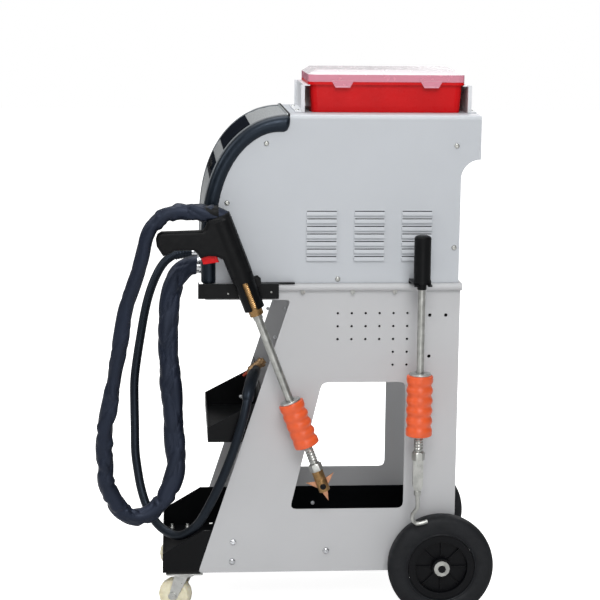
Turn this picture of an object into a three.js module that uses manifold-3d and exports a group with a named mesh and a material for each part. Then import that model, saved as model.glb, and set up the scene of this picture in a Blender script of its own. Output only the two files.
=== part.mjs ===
// Dent pulling spot welder on a wheeled cart, with its slide hammer gun, a second slide hammer with a
// pull hook, a ground lead with its clamp, and a small parts box on top.
// Millimetres, +Z up. The front with the controls faces -X, and the left side, which carries the tools,
// faces -Y. Sizes are given from the rear axle (x), the middle plane (y) and the floor (z).
import * as THREE from "three";
import { mergeVertices } from "three/addons/utils/BufferGeometryUtils.js";
import Module from "manifold-3d";

const wasm = await Module();
wasm.setup();

// Fits
const seatGap = 0.3;
const slideGap = 0.5;
const overrun = 5;
const weldSink = 0.5;
const mergeTolerance = 0.001;

// Cart frame
const cartWidth = 300;
const cartSheet = 2;
const plateRear = 30;
const plateBottom = 81;
const plateFootLength = 487;
const plateSlantRun = 171;
const plateArmDepth = 17;
const plateCornerRadius = 8;
const windowSetback = 69;
const windowSillHeight = 123;
const windowHeight = 245;
const windowSillLength = 215;
const windowHeadLength = 157;
const windowCornerRadius = 12;
const holeRadius = 2.5;
const holePitch = 26;
const holeRowPitch = 24.5;
const holeColumns = 6;
const holeFullRows = 3;
const holeShortRows = 2;
const holeShortColumns = 2;
const holeSetback = 68;
const holeTopDrop = 57;
const bigHoleRadius = 3.5;
const bigHoleSetback = 26;
const bigHoleSpread = 30;
const bigHoleDrop = 61;
const bigHoleRise = 78;

// Deck
const deckTop = 637;
const deckSheet = 1.5;
const deckSetback = 3;
const deckOverhang = 2;
const lipHeight = 14;
const lipReach = 10;

// Trays
const baseTrayDepth = 82;
const baseTrayFrontDepth = 37;
const baseTrayReach = 67;
const baseTraySlope = 75;
const baseTrayRearSetback = 20;
const upperTrayBottom = 335;
const upperTrayFront = 439;
const upperTrayLength = 99;
const upperTrayFrontDepth = 28;
const upperTraySideDepth = 79;
const upperTrayBackDepth = 101;

// Rear wheels and axle
const wheelDiameter = 200;
const wheelWidth = 40;
const wheelPlaneOffset = 181;
const rimRadius = 63;
const rimBand = 13;
const hubRimWidth = 30;
const hubBossRadius = 18;
const hubBossWidth = 38;
const hubWebWidth = 6;
const hubRibs = 8;
const hubRibWidth = 15;
const hubRibThickness = 2;
const axleRadius = 8;
const axleWasherRadius = 15;
const axleWasherWidth = 3;
const axleEndLength = 1.5;

// Casters
const casterWheelDiameter = 64;
const casterWheelWidth = 26;
const casterTrackHalf = 128;
const casterSetback = 483;
const casterTrail = 18;
const casterTurn = 20;
const casterPlateLength = 70;
const casterPlateWidth = 58;
const casterPlateSheet = 2.5;
const casterPlateCorner = 6;
const casterRaceRadius = 21;
const casterRaceHeight = 3;
const casterPinRadius = 6;
const casterPinHeadRadius = 9;
const casterPinHeadHeight = 2;
const casterForkSheet = 3;
const casterForkRadius = 22;
const casterLegWidth = 26;
const casterLegSideGap = 1.5;
const casterAxleRadius = 4;
const casterAxleHeadRadius = 7;
const casterAxleHeadLength = 4;
const casterHubRadius = 12;
const casterTreadCrown = 3;

// Power unit housing
const unitLength = 513;
const unitRear = 62;
const unitHeight = 310;
const coverSheet = 1.5;
const coverEdgeRadius = 9;
const rearStep = 36;
const rearStepHeight = 193;
const noseLength = 161;
const noseHeight = 226;
const noseDrop = 1;
const noseTopShare = 0.553;
const noseFrontShare = 0.655;
const noseSteps = 18;
const trimDepth = 26;
const trimWidth = 28;
const trimProud = 8;
const trimRound = 9;
const panelInset = 1;
const louvreColumns = 3;
const louvreRows = 7;
const louvreLength = 57;
const louvreHeight = 8;
const louvrePitch = 14;
const louvreColumnPitch = 88;
const louvreProud = 3.5;
const louvreLeft = 173;
const louvreTopDrop = 171;
const panFlange = 10;

// Front controls
const windowGlass = 1.2;
const windowGlassProud = 0.5;
const windowGlassSide = 8;
const displayFromShare = 0.19;
const displayToShare = 0.363;
const keypadFromShare = 0.432;
const keypadToShare = 0.512;
const buttonCount = 3;
const buttonRadius = 7;
const buttonSpacing = 44;
const buttonProud = 2.5;
const buttonFlange = 2;
const buttonFlangeHeight = 1.5;
const buttonTravel = 2;

// Rear controls
const fanSize = 120;
const fanDepth = 25;
const fanRise = 95;
const fanWall = 4;
const fanMotorRadius = 19;
const fanMotorDepth = 6;
const fanStrut = 5;
const fanBlades = 5;
const fanBladeChord = 22;
const fanBladeSheet = 1.6;
const fanBladePitch = 35;
const fanTipGap = 1.5;
const fanShaftRadius = 3;
const fanSlots = 7;
const fanSlotHeight = 6;
const fanSlotPitch = 14;
const switchOffset = 90;
const switchRise = 150;
const switchLength = 30;
const switchWidth = 22;
const switchFrame = 3;
const switchFrameProud = 2;
const switchDepth = 14;
const switchTurn = 20;
const glandOffset = 90;
const glandRise = 40;
const glandThreadRadius = 8;
const glandNutRadius = 13;
const glandLength = 12;
const glandTailLength = 16;
const glandTailRadius = 9;
const glandTipRadius = 7.2;
const glandBoreRadius = 5;
const glandInnerLength = 10;

// Power unit inside
const coreLength = 150;
const coreHeight = 130;
const coreDepth = 70;
const coreLimb = 30;
const coreSetback = 100;
const windingThickness = 16;
const windingCorner = 8;
const boardLength = 150;
const boardHeight = 110;
const boardSheet = 1.6;
const boardOffset = 95;
const boardFrontSetback = 400;
const boardFoot = 18;
const sinkLength = 100;
const sinkHeight = 70;
const sinkBase = 5;
const sinkFins = 6;
const sinkFinHeight = 22;
const sinkFinSheet = 2;
const capRadius = 11;
const capHeight = 32;
const capCount = 3;

// Output terminals
const terminalOffset = 80;
const terminalRise = 24;
const terminalThreadRadius = 12;
const terminalFlangeRadius = 17;
const terminalFlangeLength = 4;
const terminalNoseLength = 12;
const gunTerminalNoseRadius = 15;
const groundTerminalNoseRadius = 9;
const terminalBackLength = 22;

// Parts box and its brackets
const boxCentre = 107;
const boxRimLength = 292;
const boxRimWidth = 190;
const boxTubLength = 284;
const boxTubWidth = 178;
const boxHeight = 56;
const boxRimHeight = 5;
const boxWall = 2.2;
const boxCorner = 14;
const boxTubTaper = 3;
const boxDividers = 3;
const lidHeight = 22;
const lidKneeShare = 0.6;
const lidTaper = 13;
const lidWall = 2;
const latchTopWidth = 42;
const latchBottomWidth = 27;
const latchHeight = 13;
const latchSheet = 1.8;
const latchRise = 2.5;
const latchGrip = 2;
const latchSpacing = 165;
const lidPinRadius = 2;
const lidPinSetback = 3.5;
const lidEarRadius = 3.3;
const lidLugReach = 2.6;
const lidLugWidth = 3;
const lidEarWidth = 14;
const lidEarSpread = 96;
const bracketDepth = 184;
const bracketFlange = 5;
const bracketSheet = 2;
const bracketWallGap = 6;
const bracketFoot = 17;

// Gun bracket with its holster
const gunOffset = 190;
const gunTilt = 21;
const noseEndSetback = 101;
const noseEndZ = 585;
const holsterRadius = 19;
const holsterWall = 3;
const holsterFrom = 12;
const holsterLength = 53;
const holsterSlot = 11;
const gunWebSetback = -6;
const gunWebLength = 148;
const gunWebDepth = 28;
const gunTabLength = 91;
const gunTabTail = 30;

// Gun
const barrelRadius = 21;
const barrelFootRadius = 20;
const barrelLength = 128;
const gripReach = 124;
const gripWidth = 34;
const gripRound = 7;
const gunSplit = 0.3;
const collarRadius = 13;
const gunNoseRadius = 14.5;
const gunNoseBore = 6;
const gunNoseInside = 12;
const triggerWidth = 13;
const triggerRound = 1.6;
const triggerTravel = 6;
// Shares of the grip's reach and of the barrel's length, along the moulding's side view.
const gunSideShares = {
  footRear: [0.164, 0.1],
  headRear: [0.164, 1.02],
  headFront: [-0.169, 1.03],
  rootBend: [-0.22, 0.93],
  root: [-0.296, 0.9],
  heelTop: [-0.864, 1.09],
  heelBend: [-0.982, 1.1],
  heel: [-0.999, 0.93],
  heelLow: [-0.965, 0.77],
  palmBend: [-0.898, 0.75],
  palm: [-0.779, 0.78],
  gripLow: [-0.525, 0.69],
  guardBend: [-0.483, 0.66],
  guard: [-0.474, 0.55],
  chinBend: [-0.271, 0.56],
  chin: [-0.169, 0.42],
  footFront: [-0.164, 0.1],
};
const triggerShares = {
  toe: [-0.466, 0.45],
  heel: [-0.237, 0.4],
  back: [-0.237, 0.68],
  front: [-0.457, 0.66],
};
const sleeveSpigotRadius = 14;
const sleeveSpigotLength = 16;
const sleeveAcrossShare = 0.4;
const sleeveRiseShare = 0.51;

// Slide hammer rods and weights
const gunRodRadius = 7.5;
const gunRodLength = 312.7;
const gunRodCollar = 9;
const gunRodCollarLength = 8;
const gunWeightLength = 93;
const gunWeightRise = 48.7;
const gunWeightRadius = 23;
const weightWasherLength = 4.5;
const weightWasherShare = 0.82;
const weightGroove = 2.6;
const gunWeightWaves = 4;
const weightWaveSteps = 3;
const threadRadius = 6.5;
const stopRadius = 10.5;
const stopLength = 2.5;

// Electrode holder and star bit
const holderNutAcross = 18;
const holderNutLength = 14;
const holderRadius = 9;
const holderLength = 42;
const holderSlot = 2.6;
const holderSlotLength = 24;
const holderScrewRadius = 2.8;
const starRadius = 32;
const starValley = 9;
const starSheet = 2;
const starPoints = 3;
const starSetback = 31;

// Second slide hammer
const toolX = -51;
const toolOffset = 212;
const toolHandleRadius = 15.5;
const toolHandleLength = 88;
const toolHandleDome = 5;
const toolDomeShares = [[1, 0], [0.9, 0.6], [0.62, 1]];
const toolHandleFlare = 1.5;
const toolFlareLength = 4;
const toolNeckRadius = 8.5;
const toolNeckLength = 11.3;
const toolRodRadius = 6.8;
const toolWeightDrop = 166;
const toolWeightLength = 119;
const toolWeightRadius = 24;
const toolWeightWaves = 5;
const toolThreadLength = 30;
const toolRodInNut = 10;
const hookNutAcross = 18;
const hookNutLength = 16;
const hookShankWidth = 19;
const hookShankThickness = 7;
const hookShankLength = 49;
const hookTaperLength = 14;
const hookRodRadius = 4;
const hookRodLength = 40;
const hookBend = 19;
const hookKink = 9;
const hookKinkShare = 0.8;
const hookTurnShare = 0.33;
const hookRiseShare = 0.4;
const hookTipLength = 20;
const hangerWidth = 33;
const hangerReach = 20;
const hangerSheet = 3;
const hangerRise = 5.7;

// Leads and ground clamp
const gunLeadRadius = 15;
const groundLeadRadius = 8.5;
const leadSides = 8;
const leadStep = 30;
const hookSteps = 14;
const clampSetback = 107.6;
const clampZ = 446.7;
const clampTilt = 38;
const clampBodyRadius = 9;
const clampBodyLength = 24;
const clampBandRadius = 10.5;
const clampBandLength = 6;
const clampTipLength = 18;
const clampTipRadius = 3;
const clampTailLength = 10;
const clampTailRadius = 7;
const clampStemRadius = 6;
const clampStemLength = 16;

// Smoothness of round forms
const plateCurve = 3;
const bevelSteps = 2;
const holeSides = 16;
const smallSides = 12;
const wheelSides = 28;
const casterSides = 16;
const weightSides = 16;
const punchSides = 6;
const arcCurve = 5;
const gripCurve = 3;

// Places that follow from the sizes above
const halfCart = cartWidth / 2;
const deckUnderside = deckTop - deckSheet;
const plateTop = deckUnderside - seatGap;
const plateFront = plateRear - plateFootLength;
const unitFront = unitRear - unitLength;
const noseEndX = unitFront + noseEndSetback;
const clampX = unitFront + clampSetback;
const unitBase = deckTop + seatGap;
const unitTop = deckTop + unitHeight;
const deckFront = unitFront + deckSetback;
const lipOuter = halfCart + lipReach;
const wheelRadius = wheelDiameter / 2;
const coverFront = unitFront + noseLength + seatGap;
const panelHalf = halfCart + trimProud - trimWidth - seatGap;
const insideHalf = halfCart - coverSheet - seatGap;
const panTop = unitBase + coverSheet;
const lowerRear = unitRear - rearStep;
const terminalZ = deckTop + terminalRise;
const trayHalf = halfCart - cartSheet - seatGap;
const boxBase = unitTop + seatGap;
const boxTop = boxBase + boxHeight;
const lidPinY = boxRimWidth / 2 + lidPinSetback;
const lidPinZ = boxTop + seatGap;
const gunWeightTop = gunRodLength - gunWeightRise - gunWeightLength;

const sides = [
  { name: "left", sign: -1 },
  { name: "right", sign: 1 },
];

// Turns a closed three.js geometry into a solid for joins and cuts.
function solidOf(geometry) {
  const bare = geometry.index ? geometry.toNonIndexed() : geometry.clone();
  bare.deleteAttribute("normal");
  bare.deleteAttribute("uv");
  const merged = mergeVertices(bare, mergeTolerance);
  const corners = [];
  const all = merged.index.array;
  for (let i = 0; i < all.length; i += 3) {
    const [a, b, c] = [all[i], all[i + 1], all[i + 2]];
    if (a !== b && b !== c && c !== a) corners.push(a, b, c);
  }
  const build = (list) =>
    new wasm.Manifold(
      new wasm.Mesh({
        numProp: 3,
        vertProperties: merged.attributes.position.array,
        triVerts: new Uint32Array(list),
      }),
    );
  const made = build(corners);
  return made.volume() < 0 ? build(corners.reverse()) : made;
}

function geometryOf(solid) {
  const mesh = solid.getMesh();
  const positions = new Float32Array(mesh.numVert * 3);
  for (let i = 0; i < mesh.numVert; i++) {
    positions.set(mesh.vertProperties.subarray(i * mesh.numProp, i * mesh.numProp + 3), i * 3);
  }
  const geometry = new THREE.BufferGeometry();
  geometry.setAttribute("position", new THREE.BufferAttribute(positions, 3));
  geometry.setIndex(new THREE.BufferAttribute(new Uint32Array(mesh.triVerts), 1));
  const flat = geometry.toNonIndexed();
  flat.computeVertexNormals();
  return flat;
}

const joined = (first, ...rest) => rest.reduce((sum, next) => sum.add(next), first);
const without = (first, ...rest) => rest.reduce((sum, next) => sum.subtract(next), first);

// Outline helpers: corners are [a, b] pairs in the plane of the outline.
function outline(corners, round = 0) {
  const shape = new THREE.Shape();
  const points = corners.map(([a, b]) => new THREE.Vector2(a, b));
  points.forEach((corner, i) => {
    const towards = (other) =>
      corner.clone().add(other.clone().sub(corner).setLength(round));
    const into = round ? towards(points.at(i - 1)) : corner;
    if (i) shape.lineTo(into.x, into.y);
    else shape.moveTo(into.x, into.y);
    if (round) {
      const out = towards(points[(i + 1) % points.length]);
      shape.quadraticCurveTo(corner.x, corner.y, out.x, out.y);
    }
  });
  shape.closePath();
  return shape;
}

const rectangle = (a0, b0, a1, b1, round = 0) =>
  outline([[a0, b0], [a1, b0], [a1, b1], [a0, b1]], round);

function circle(a, b, radius, count = punchSides) {
  const corners = Array.from({ length: count }, (_, i) => (Math.PI * 2 * i) / count);
  return outline(corners.map((angle) => [a + radius * Math.cos(angle), b + radius * Math.sin(angle)]));
}

// Slabs of an outline: the name's letters are the outline's plane, and the numbers the slab's two faces.
function slab(shape, low, high, basis, bevel = 0, curve = plateCurve) {
  const geometry = new THREE.ExtrudeGeometry(shape, {
    depth: high - low - bevel - bevel,
    curveSegments: curve,
    bevelEnabled: bevel > 0,
    bevelThickness: bevel,
    bevelSize: bevel,
    bevelOffset: -bevel,
    bevelSegments: bevelSteps,
  });
  geometry.translate(0, 0, low + bevel);
  geometry.applyMatrix4(basis);
  return solidOf(geometry);
}
const axisX = new THREE.Vector3(1, 0, 0);
const axisY = new THREE.Vector3(0, 1, 0);
const axisZ = new THREE.Vector3(0, 0, 1);
const planeXY = new THREE.Matrix4();
const planeYZ = new THREE.Matrix4().makeBasis(axisY, axisZ, axisX);
const planeXZ = new THREE.Matrix4().makeBasis(axisX, axisZ, axisY.clone().negate());
const slabXY = (shape, z0, z1, bevel, curve) => slab(shape, z0, z1, planeXY, bevel, curve);
const slabYZ = (shape, x0, x1, bevel, curve) => slab(shape, x0, x1, planeYZ, bevel, curve);
const slabXZ = (shape, y0, y1, bevel, curve) => slab(shape, -y1, -y0, planeXZ, bevel, curve);
const block = (x0, y0, z0, x1, y1, z1) => slabXY(rectangle(x0, y0, x1, y1), z0, z1);

// A turned form about Z; the profile's pairs are [radius, height].
function turned(profile, count = holeSides) {
  const points = profile.map(([r, h]) => new THREE.Vector2(r, h));
  const geometry = new THREE.LatheGeometry(points, count);
  geometry.rotateX(Math.PI / 2);
  return solidOf(geometry);
}
const pin = (radius, low, high, count) =>
  turned([[0, low], [radius, low], [radius, high], [0, high]], count);
const ring = (inner, outer, low, high, count) =>
  turned([[inner, low], [outer, low], [outer, high], [inner, high], [inner, low]], count);

function hexagon(across, low, high) {
  const sides = 6;
  return pin(across / 2 / Math.cos(Math.PI / sides), low, high, sides);
}

function placed(solid, matrix) {
  return solid.transform(matrix.toArray());
}
const moved = (solid, x, y, z) => placed(solid, new THREE.Matrix4().makeTranslation(x, y, z));
const turnedBy = (solid, axis, degrees) =>
  placed(solid, new THREE.Matrix4().makeRotationAxis(axis, THREE.MathUtils.degToRad(degrees)));
const alongX = (solid) => turnedBy(solid, axisY, 90);
const alongY = (solid) => turnedBy(solid, axisX, -90);

// A closed skin over rings of points, each ring with as many points as the next.
function loft(rings) {
  const count = rings[0].length;
  const positions = [];
  const push = (...points) => points.forEach((p) => positions.push(p.x, p.y, p.z));
  rings.slice(1).forEach((upper, k) => {
    const lower = rings[k];
    for (let i = 0; i < count; i++) {
      const j = (i + 1) % count;
      push(lower[i], lower[j], upper[j], lower[i], upper[j], upper[i]);
    }
  });
  const cap = (points, flip) => {
    const middle = new THREE.Vector3();
    points.forEach((p) => middle.addScaledVector(p, 1 / count));
    points.forEach((p, i) => {
      const q = points[(i + 1) % count];
      if (flip) push(middle, q, p);
      else push(middle, p, q);
    });
  };
  cap(rings[0], true);
  cap(rings.at(-1), false);
  const geometry = new THREE.BufferGeometry();
  geometry.setAttribute("position", new THREE.Float32BufferAttribute(positions, 3));
  return solidOf(geometry);
}

function roundedRing(halfA, halfB, round, height) {
  const shape = rectangle(-halfA, -halfB, halfA, halfB, round);
  const points = shape.getPoints(plateCurve);
  points.pop();
  return points.map((p) => new THREE.Vector3(p.x, p.y, height));
}

// A round bar or lead along a smooth path, as an extruded section.
function tube(points, radius, count, steps) {
  const path = new THREE.CatmullRomCurve3(points, false, "centripetal");
  const section = new THREE.Shape();
  for (let i = 0; i < count; i++) {
    const angle = (Math.PI * 2 * i) / count;
    const [a, b] = [radius * Math.cos(angle), radius * Math.sin(angle)];
    if (i) section.lineTo(a, b);
    else section.moveTo(a, b);
  }
  section.closePath();
  const geometry = new THREE.ExtrudeGeometry(section, { steps, extrudePath: path, bevelEnabled: false });
  return solidOf(geometry);
}

// Materials
const material = (color, roughness, metalness = 0) =>
  new THREE.MeshStandardMaterial({ color, roughness, metalness });
const housingPaint = material(0xb7bac2, 0.45);
const cartPaint = material(0xb2b2b2, 0.5);
const blackPaint = material(0x1b1c1e, 0.45);
const blackPlastic = material(0x1c1d20, 0.5);
const trimPlastic = material(0x1e2630, 0.4);
const brushedSteel = material(0xb9bcc0, 0.3, 1);
const chrome = material(0xd8dadd, 0.15, 1);
const brass = material(0xb98b4a, 0.3, 1);
const copper = material(0xc9835c, 0.3, 1);
const rubber = material(0x17181a, 0.8);
const nylon = material(0xe6dfc2, 0.5);
const orangePlastic = material(0xf06437, 0.5);
const redPlastic = material(0xd62020, 0.4);
const clearPlastic = material(0xf0d6da, 0.1);
const darkGlass = material(0x10141b, 0.1);
const navyFabric = material(0x232837, 0.9);
const silverPanel = material(0xb4b8ba, 0.3, 0.6);
const coreSteel = material(0x6f7276, 0.5, 0.8);
const enamelCopper = material(0xa65a2c, 0.4, 0.6);
const boardGreen = material(0x1f5a36, 0.6);
const fanPlastic = material(0x222326, 0.6);

// The part's own frame stands on the floor under the middle of the machine.
const machine = new THREE.Group();

function add(name, solid, look, parent = machine, position = [0, 0, 0]) {
  const mesh = new THREE.Mesh(geometryOf(solid), look);
  mesh.name = name;
  mesh.position.set(...position);
  parent.add(mesh);
  return mesh;
}

// Cart frame

// The left edge of the side plate at a height: it leans back from the foot to the arm.
const armUnderside = plateTop - plateArmDepth - (lipHeight - deckSheet);
function plateSlant(z) {
  const share = (z - plateBottom) / (armUnderside - plateBottom);
  return plateFront + plateSlantRun * share;
}

function sidePlate(sign) {
  const shape = outline(
    [
      [plateFront, plateBottom],
      [plateRear, plateBottom],
      [plateRear, plateTop],
      [deckFront + seatGap, plateTop],
      [deckFront + seatGap, armUnderside],
      [plateSlant(armUnderside), armUnderside],
    ],
    plateCornerRadius,
  );
  const sill = plateBottom + windowSillHeight;
  const head = sill + windowHeight;
  shape.holes.push(
    outline(
      [
        [-windowSetback - windowSillLength, sill],
        [-windowSetback, sill],
        [-windowSetback, head],
        [-windowSetback - windowHeadLength, head],
      ],
      windowCornerRadius,
    ),
  );
  const topRow = deckTop - holeTopDrop;
  for (let row = 0; row < holeFullRows + holeShortRows; row++) {
    const columns = row < holeFullRows ? holeColumns : holeShortColumns;
    for (let column = 0; column < columns; column++) {
      shape.holes.push(
        circle(-holeSetback - column * holePitch, topRow - row * holeRowPitch, holeRadius),
      );
    }
  }
  const bigTop = deckTop - bigHoleDrop;
  shape.holes.push(circle(-bigHoleSetback, bigTop, bigHoleRadius));
  shape.holes.push(circle(-bigHoleSetback + bigHoleSpread, bigTop, bigHoleRadius));
  shape.holes.push(circle(-bigHoleSetback, bigTop - bigHoleRise, bigHoleRadius));
  const outer = sign * halfCart;
  const inner = sign * (halfCart - cartSheet);
  const plate = slabXZ(shape, Math.min(outer, inner), Math.max(outer, inner));
  const axleHole = alongY(
    pin(axleRadius + seatGap, -halfCart - overrun, halfCart + overrun),
  );
  return plate.subtract(moved(axleHole, 0, 0, wheelRadius));
}

// The deck is one sheet whose long edges curl down to a rolled lip outside the side plates.
function topDeck() {
  const curl = lipHeight / 2;
  const centreY = lipOuter - curl;
  const centreZ = deckTop - curl;
  const inner = curl - deckSheet;
  const lipEdge = halfCart + seatGap;
  const lipLow = deckTop - lipHeight;
  const shape = new THREE.Shape();
  shape.moveTo(-lipEdge, lipLow);
  shape.lineTo(-centreY, lipLow);
  shape.absarc(-centreY, centreZ, curl, -Math.PI / 2, -Math.PI * 1.5, true);
  shape.lineTo(centreY, deckTop);
  shape.absarc(centreY, centreZ, curl, Math.PI / 2, -Math.PI / 2, true);
  shape.lineTo(lipEdge, lipLow);
  shape.lineTo(lipEdge, lipLow + deckSheet);
  shape.lineTo(centreY, lipLow + deckSheet);
  shape.absarc(centreY, centreZ, inner, -Math.PI / 2, Math.PI / 2, false);
  shape.lineTo(-centreY, deckUnderside);
  shape.absarc(-centreY, centreZ, inner, Math.PI / 2, Math.PI * 1.5, false);
  shape.lineTo(-lipEdge, lipLow + deckSheet);
  shape.closePath();
  return slabYZ(shape, deckFront, plateRear + deckOverhang);
}

// An open sheet tray: the outline is its side wall, and the inside is cut down to the sheet.
function sheetTray(side, insideLow, insideFront, insideRear) {
  const body = slabXZ(outline(side), -trayHalf, trayHalf);
  const high = Math.max(...side.map(([, z]) => z)) + overrun;
  const inside = rectangle(insideFront, insideLow, insideRear, high);
  return body.subtract(slabXZ(inside, -trayHalf + cartSheet, trayHalf - cartSheet));
}

function baseTray() {
  const front = plateFront - baseTrayReach;
  const rear = -baseTrayRearSetback;
  const side = [
    [front, plateBottom],
    [rear, plateBottom],
    [rear, plateBottom + baseTrayDepth],
    [front + baseTraySlope, plateBottom + baseTrayDepth],
    [front, plateBottom + baseTrayFrontDepth],
  ];
  return sheetTray(side, plateBottom + cartSheet, front + cartSheet, rear - cartSheet);
}

function upperTray() {
  const front = -upperTrayFront;
  const rear = front + upperTrayLength;
  const side = [
    [front, upperTrayBottom],
    [rear, upperTrayBottom],
    [rear, upperTrayBottom + upperTrayBackDepth],
    [rear - cartSheet, upperTrayBottom + upperTrayBackDepth],
    [rear - cartSheet, upperTrayBottom + upperTraySideDepth],
    [front, upperTrayBottom + upperTrayFrontDepth],
  ];
  return sheetTray(side, upperTrayBottom + cartSheet, front + cartSheet, rear - cartSheet);
}

// Rear wheels

// The axle runs through both side plates and both hubs, and a washer closes each end.
function rearAxle() {
  const hubEnd = wheelPlaneOffset + hubBossWidth / 2;
  const washerFrom = hubEnd + seatGap;
  const washerTo = washerFrom + axleWasherWidth;
  const end = washerTo + axleEndLength;
  const profile = [
    [0, -end],
    [axleRadius, -end],
    [axleRadius, -washerTo],
    [axleWasherRadius, -washerTo],
    [axleWasherRadius, -washerFrom],
    [axleRadius, -washerFrom],
    [axleRadius, washerFrom],
    [axleWasherRadius, washerFrom],
    [axleWasherRadius, washerTo],
    [axleRadius, washerTo],
    [axleRadius, end],
    [0, end],
  ];
  return alongY(turned(profile, smallSides));
}

function tyre() {
  const half = wheelWidth / 2;
  const bead = hubRimWidth / 2;
  const widthShares = [1, 1, 0.86, 0.4];
  const depthShares = [0.28, 0.7, 0.93, 1];
  const wall = wheelRadius - rimRadius;
  const crown = widthShares.map((share, i) => [rimRadius + wall * depthShares[i], half * share]);
  const profile = [
    [rimRadius, bead],
    ...crown,
    ...crown.map(([r, w]) => [r, -w]).reverse(),
    [rimRadius, -bead],
    [rimRadius, bead],
  ];
  return alongY(turned(profile, wheelSides));
}

// The moulded hub: boss, thin web, rim band and ribs on both faces.
function wheelHub() {
  const bore = axleRadius + seatGap;
  const boss = hubBossWidth / 2;
  const web = hubWebWidth / 2;
  const rim = hubRimWidth / 2;
  const outer = rimRadius - seatGap;
  const band = outer - rimBand;
  const profile = [
    [bore, -boss],
    [hubBossRadius, -boss],
    [hubBossRadius, -web],
    [band, -web],
    [band, -rim],
    [outer, -rim],
    [outer, rim],
    [band, rim],
    [band, web],
    [hubBossRadius, web],
    [hubBossRadius, boss],
    [bore, boss],
    [bore, -boss],
  ];
  let hub = turned(profile, wheelSides);
  const half = hubRibThickness / 2;
  const [ribFrom, ribTo] = [hubBossRadius - weldSink, band + weldSink];
  const rib = block(ribFrom, -half, -hubRibWidth / 2, ribTo, half, hubRibWidth / 2);
  for (let i = 0; i < hubRibs; i++) {
    hub = hub.add(turnedBy(rib, axisZ, (360 / hubRibs) * i));
  }
  return alongY(hub);
}

// Casters, each in its own frame: z = 0 on the floor, the kingpin's axis at x = 0.
const casterTop = plateBottom - seatGap;
const casterRaceTop = casterTop - casterPlateSheet;
const casterForkTop = casterRaceTop - casterRaceHeight - seatGap;
const casterLegInner = casterWheelWidth / 2 + casterLegSideGap;
const casterLegOuter = casterLegInner + casterForkSheet;
const casterAxleZ = casterWheelDiameter / 2;

function casterPlate() {
  const halfLength = casterPlateLength / 2;
  const halfWidth = casterPlateWidth / 2;
  const sheet = slabXY(
    rectangle(-halfLength, -halfWidth, halfLength, halfWidth, casterPlateCorner),
    casterRaceTop,
    casterTop,
  );
  const race = casterRaceTop - casterRaceHeight;
  const headTop = casterForkTop - casterForkSheet - seatGap;
  const kingpin = turned([
    [0, headTop - casterPinHeadHeight],
    [casterPinHeadRadius, headTop - casterPinHeadHeight],
    [casterPinHeadRadius, headTop],
    [casterPinRadius, headTop],
    [casterPinRadius, race],
    [casterRaceRadius, race],
    [casterRaceRadius, casterRaceTop + weldSink],
    [0, casterRaceTop + weldSink],
  ]);
  return sheet.add(kingpin);
}

function casterFork() {
  const crown = ring(
    casterPinRadius + seatGap,
    casterForkRadius,
    casterForkTop - casterForkSheet,
    casterForkTop,
  );
  const half = casterLegWidth / 2;
  const foot = casterAxleRadius + casterForkSheet;
  const leg = outline(
    [
      [-half, casterForkTop],
      [-casterTrail - foot, casterAxleZ],
      [-casterTrail - foot, casterAxleZ - foot],
      [-casterTrail + foot, casterAxleZ - foot],
      [half, casterForkTop - casterForkSheet],
      [half, casterForkTop],
    ],
  );
  const kingpinRoom = pin(casterPinHeadRadius + slideGap, -overrun, casterForkTop - casterForkSheet);
  const legs = sides.map(({ sign }) => {
    const y = sign * casterLegInner;
    const outer = sign * casterLegOuter;
    return slabXZ(leg, Math.min(y, outer), Math.max(y, outer)).subtract(kingpinRoom);
  });
  const bridgeLow = casterForkTop - casterForkSheet;
  const bridge = block(-half, -casterLegOuter, bridgeLow, half, casterLegOuter, casterForkTop);
  const pinHole = pin(casterPinRadius + seatGap, 0, casterTop);
  const axle = turned([
    [0, -casterLegOuter - casterAxleHeadLength],
    [casterAxleHeadRadius, -casterLegOuter - casterAxleHeadLength],
    [casterAxleHeadRadius, -casterLegOuter + weldSink],
    [casterAxleRadius, -casterLegOuter + weldSink],
    [casterAxleRadius, casterLegOuter - weldSink],
    [casterAxleHeadRadius, casterLegOuter - weldSink],
    [casterAxleHeadRadius, casterLegOuter + casterAxleHeadLength],
    [0, casterLegOuter + casterAxleHeadLength],
  ], smallSides);
  const frame = joined(crown, bridge, ...legs).subtract(pinHole);
  return frame.add(moved(alongY(axle), -casterTrail, 0, casterAxleZ));
}

function casterWheel() {
  const half = casterWheelWidth / 2;
  const radius = casterWheelDiameter / 2;
  const bore = casterAxleRadius + seatGap;
  const hub = half + casterLegSideGap - seatGap;
  const crownShares = [1, 0.62, 0];
  const tread = crownShares.map((share) => [radius - casterTreadCrown * share * share, half * share]);
  const wheel = turned([
    [bore, -hub],
    [casterHubRadius, -hub],
    [casterHubRadius + seatGap, -half],
    ...tread.map(([r, w]) => [r, -w]),
    ...tread.slice(0, -1).reverse(),
    [casterHubRadius + seatGap, half],
    [casterHubRadius, hub],
    [bore, hub],
    [bore, -hub],
  ], casterSides);
  return moved(alongY(wheel), -casterTrail, 0, casterAxleZ);
}

// Power unit housing

// The nose line runs from the top, round the front and down to the deck.
const noseTopX = unitFront + noseLength;
const noseTopZ = unitTop - noseDrop;
const noseLowZ = noseTopZ - noseHeight;
const noseLine = new THREE.CurvePath();
noseLine.add(
  new THREE.CubicBezierCurve(
    new THREE.Vector2(noseTopX, noseTopZ),
    new THREE.Vector2(noseTopX - noseLength * noseTopShare, noseTopZ),
    new THREE.Vector2(unitFront, noseLowZ + noseHeight * noseFrontShare),
    new THREE.Vector2(unitFront, noseLowZ),
  ),
);
noseLine.add(
  new THREE.LineCurve(
    new THREE.Vector2(unitFront, noseLowZ),
    new THREE.Vector2(unitFront, unitBase),
  ),
);

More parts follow.
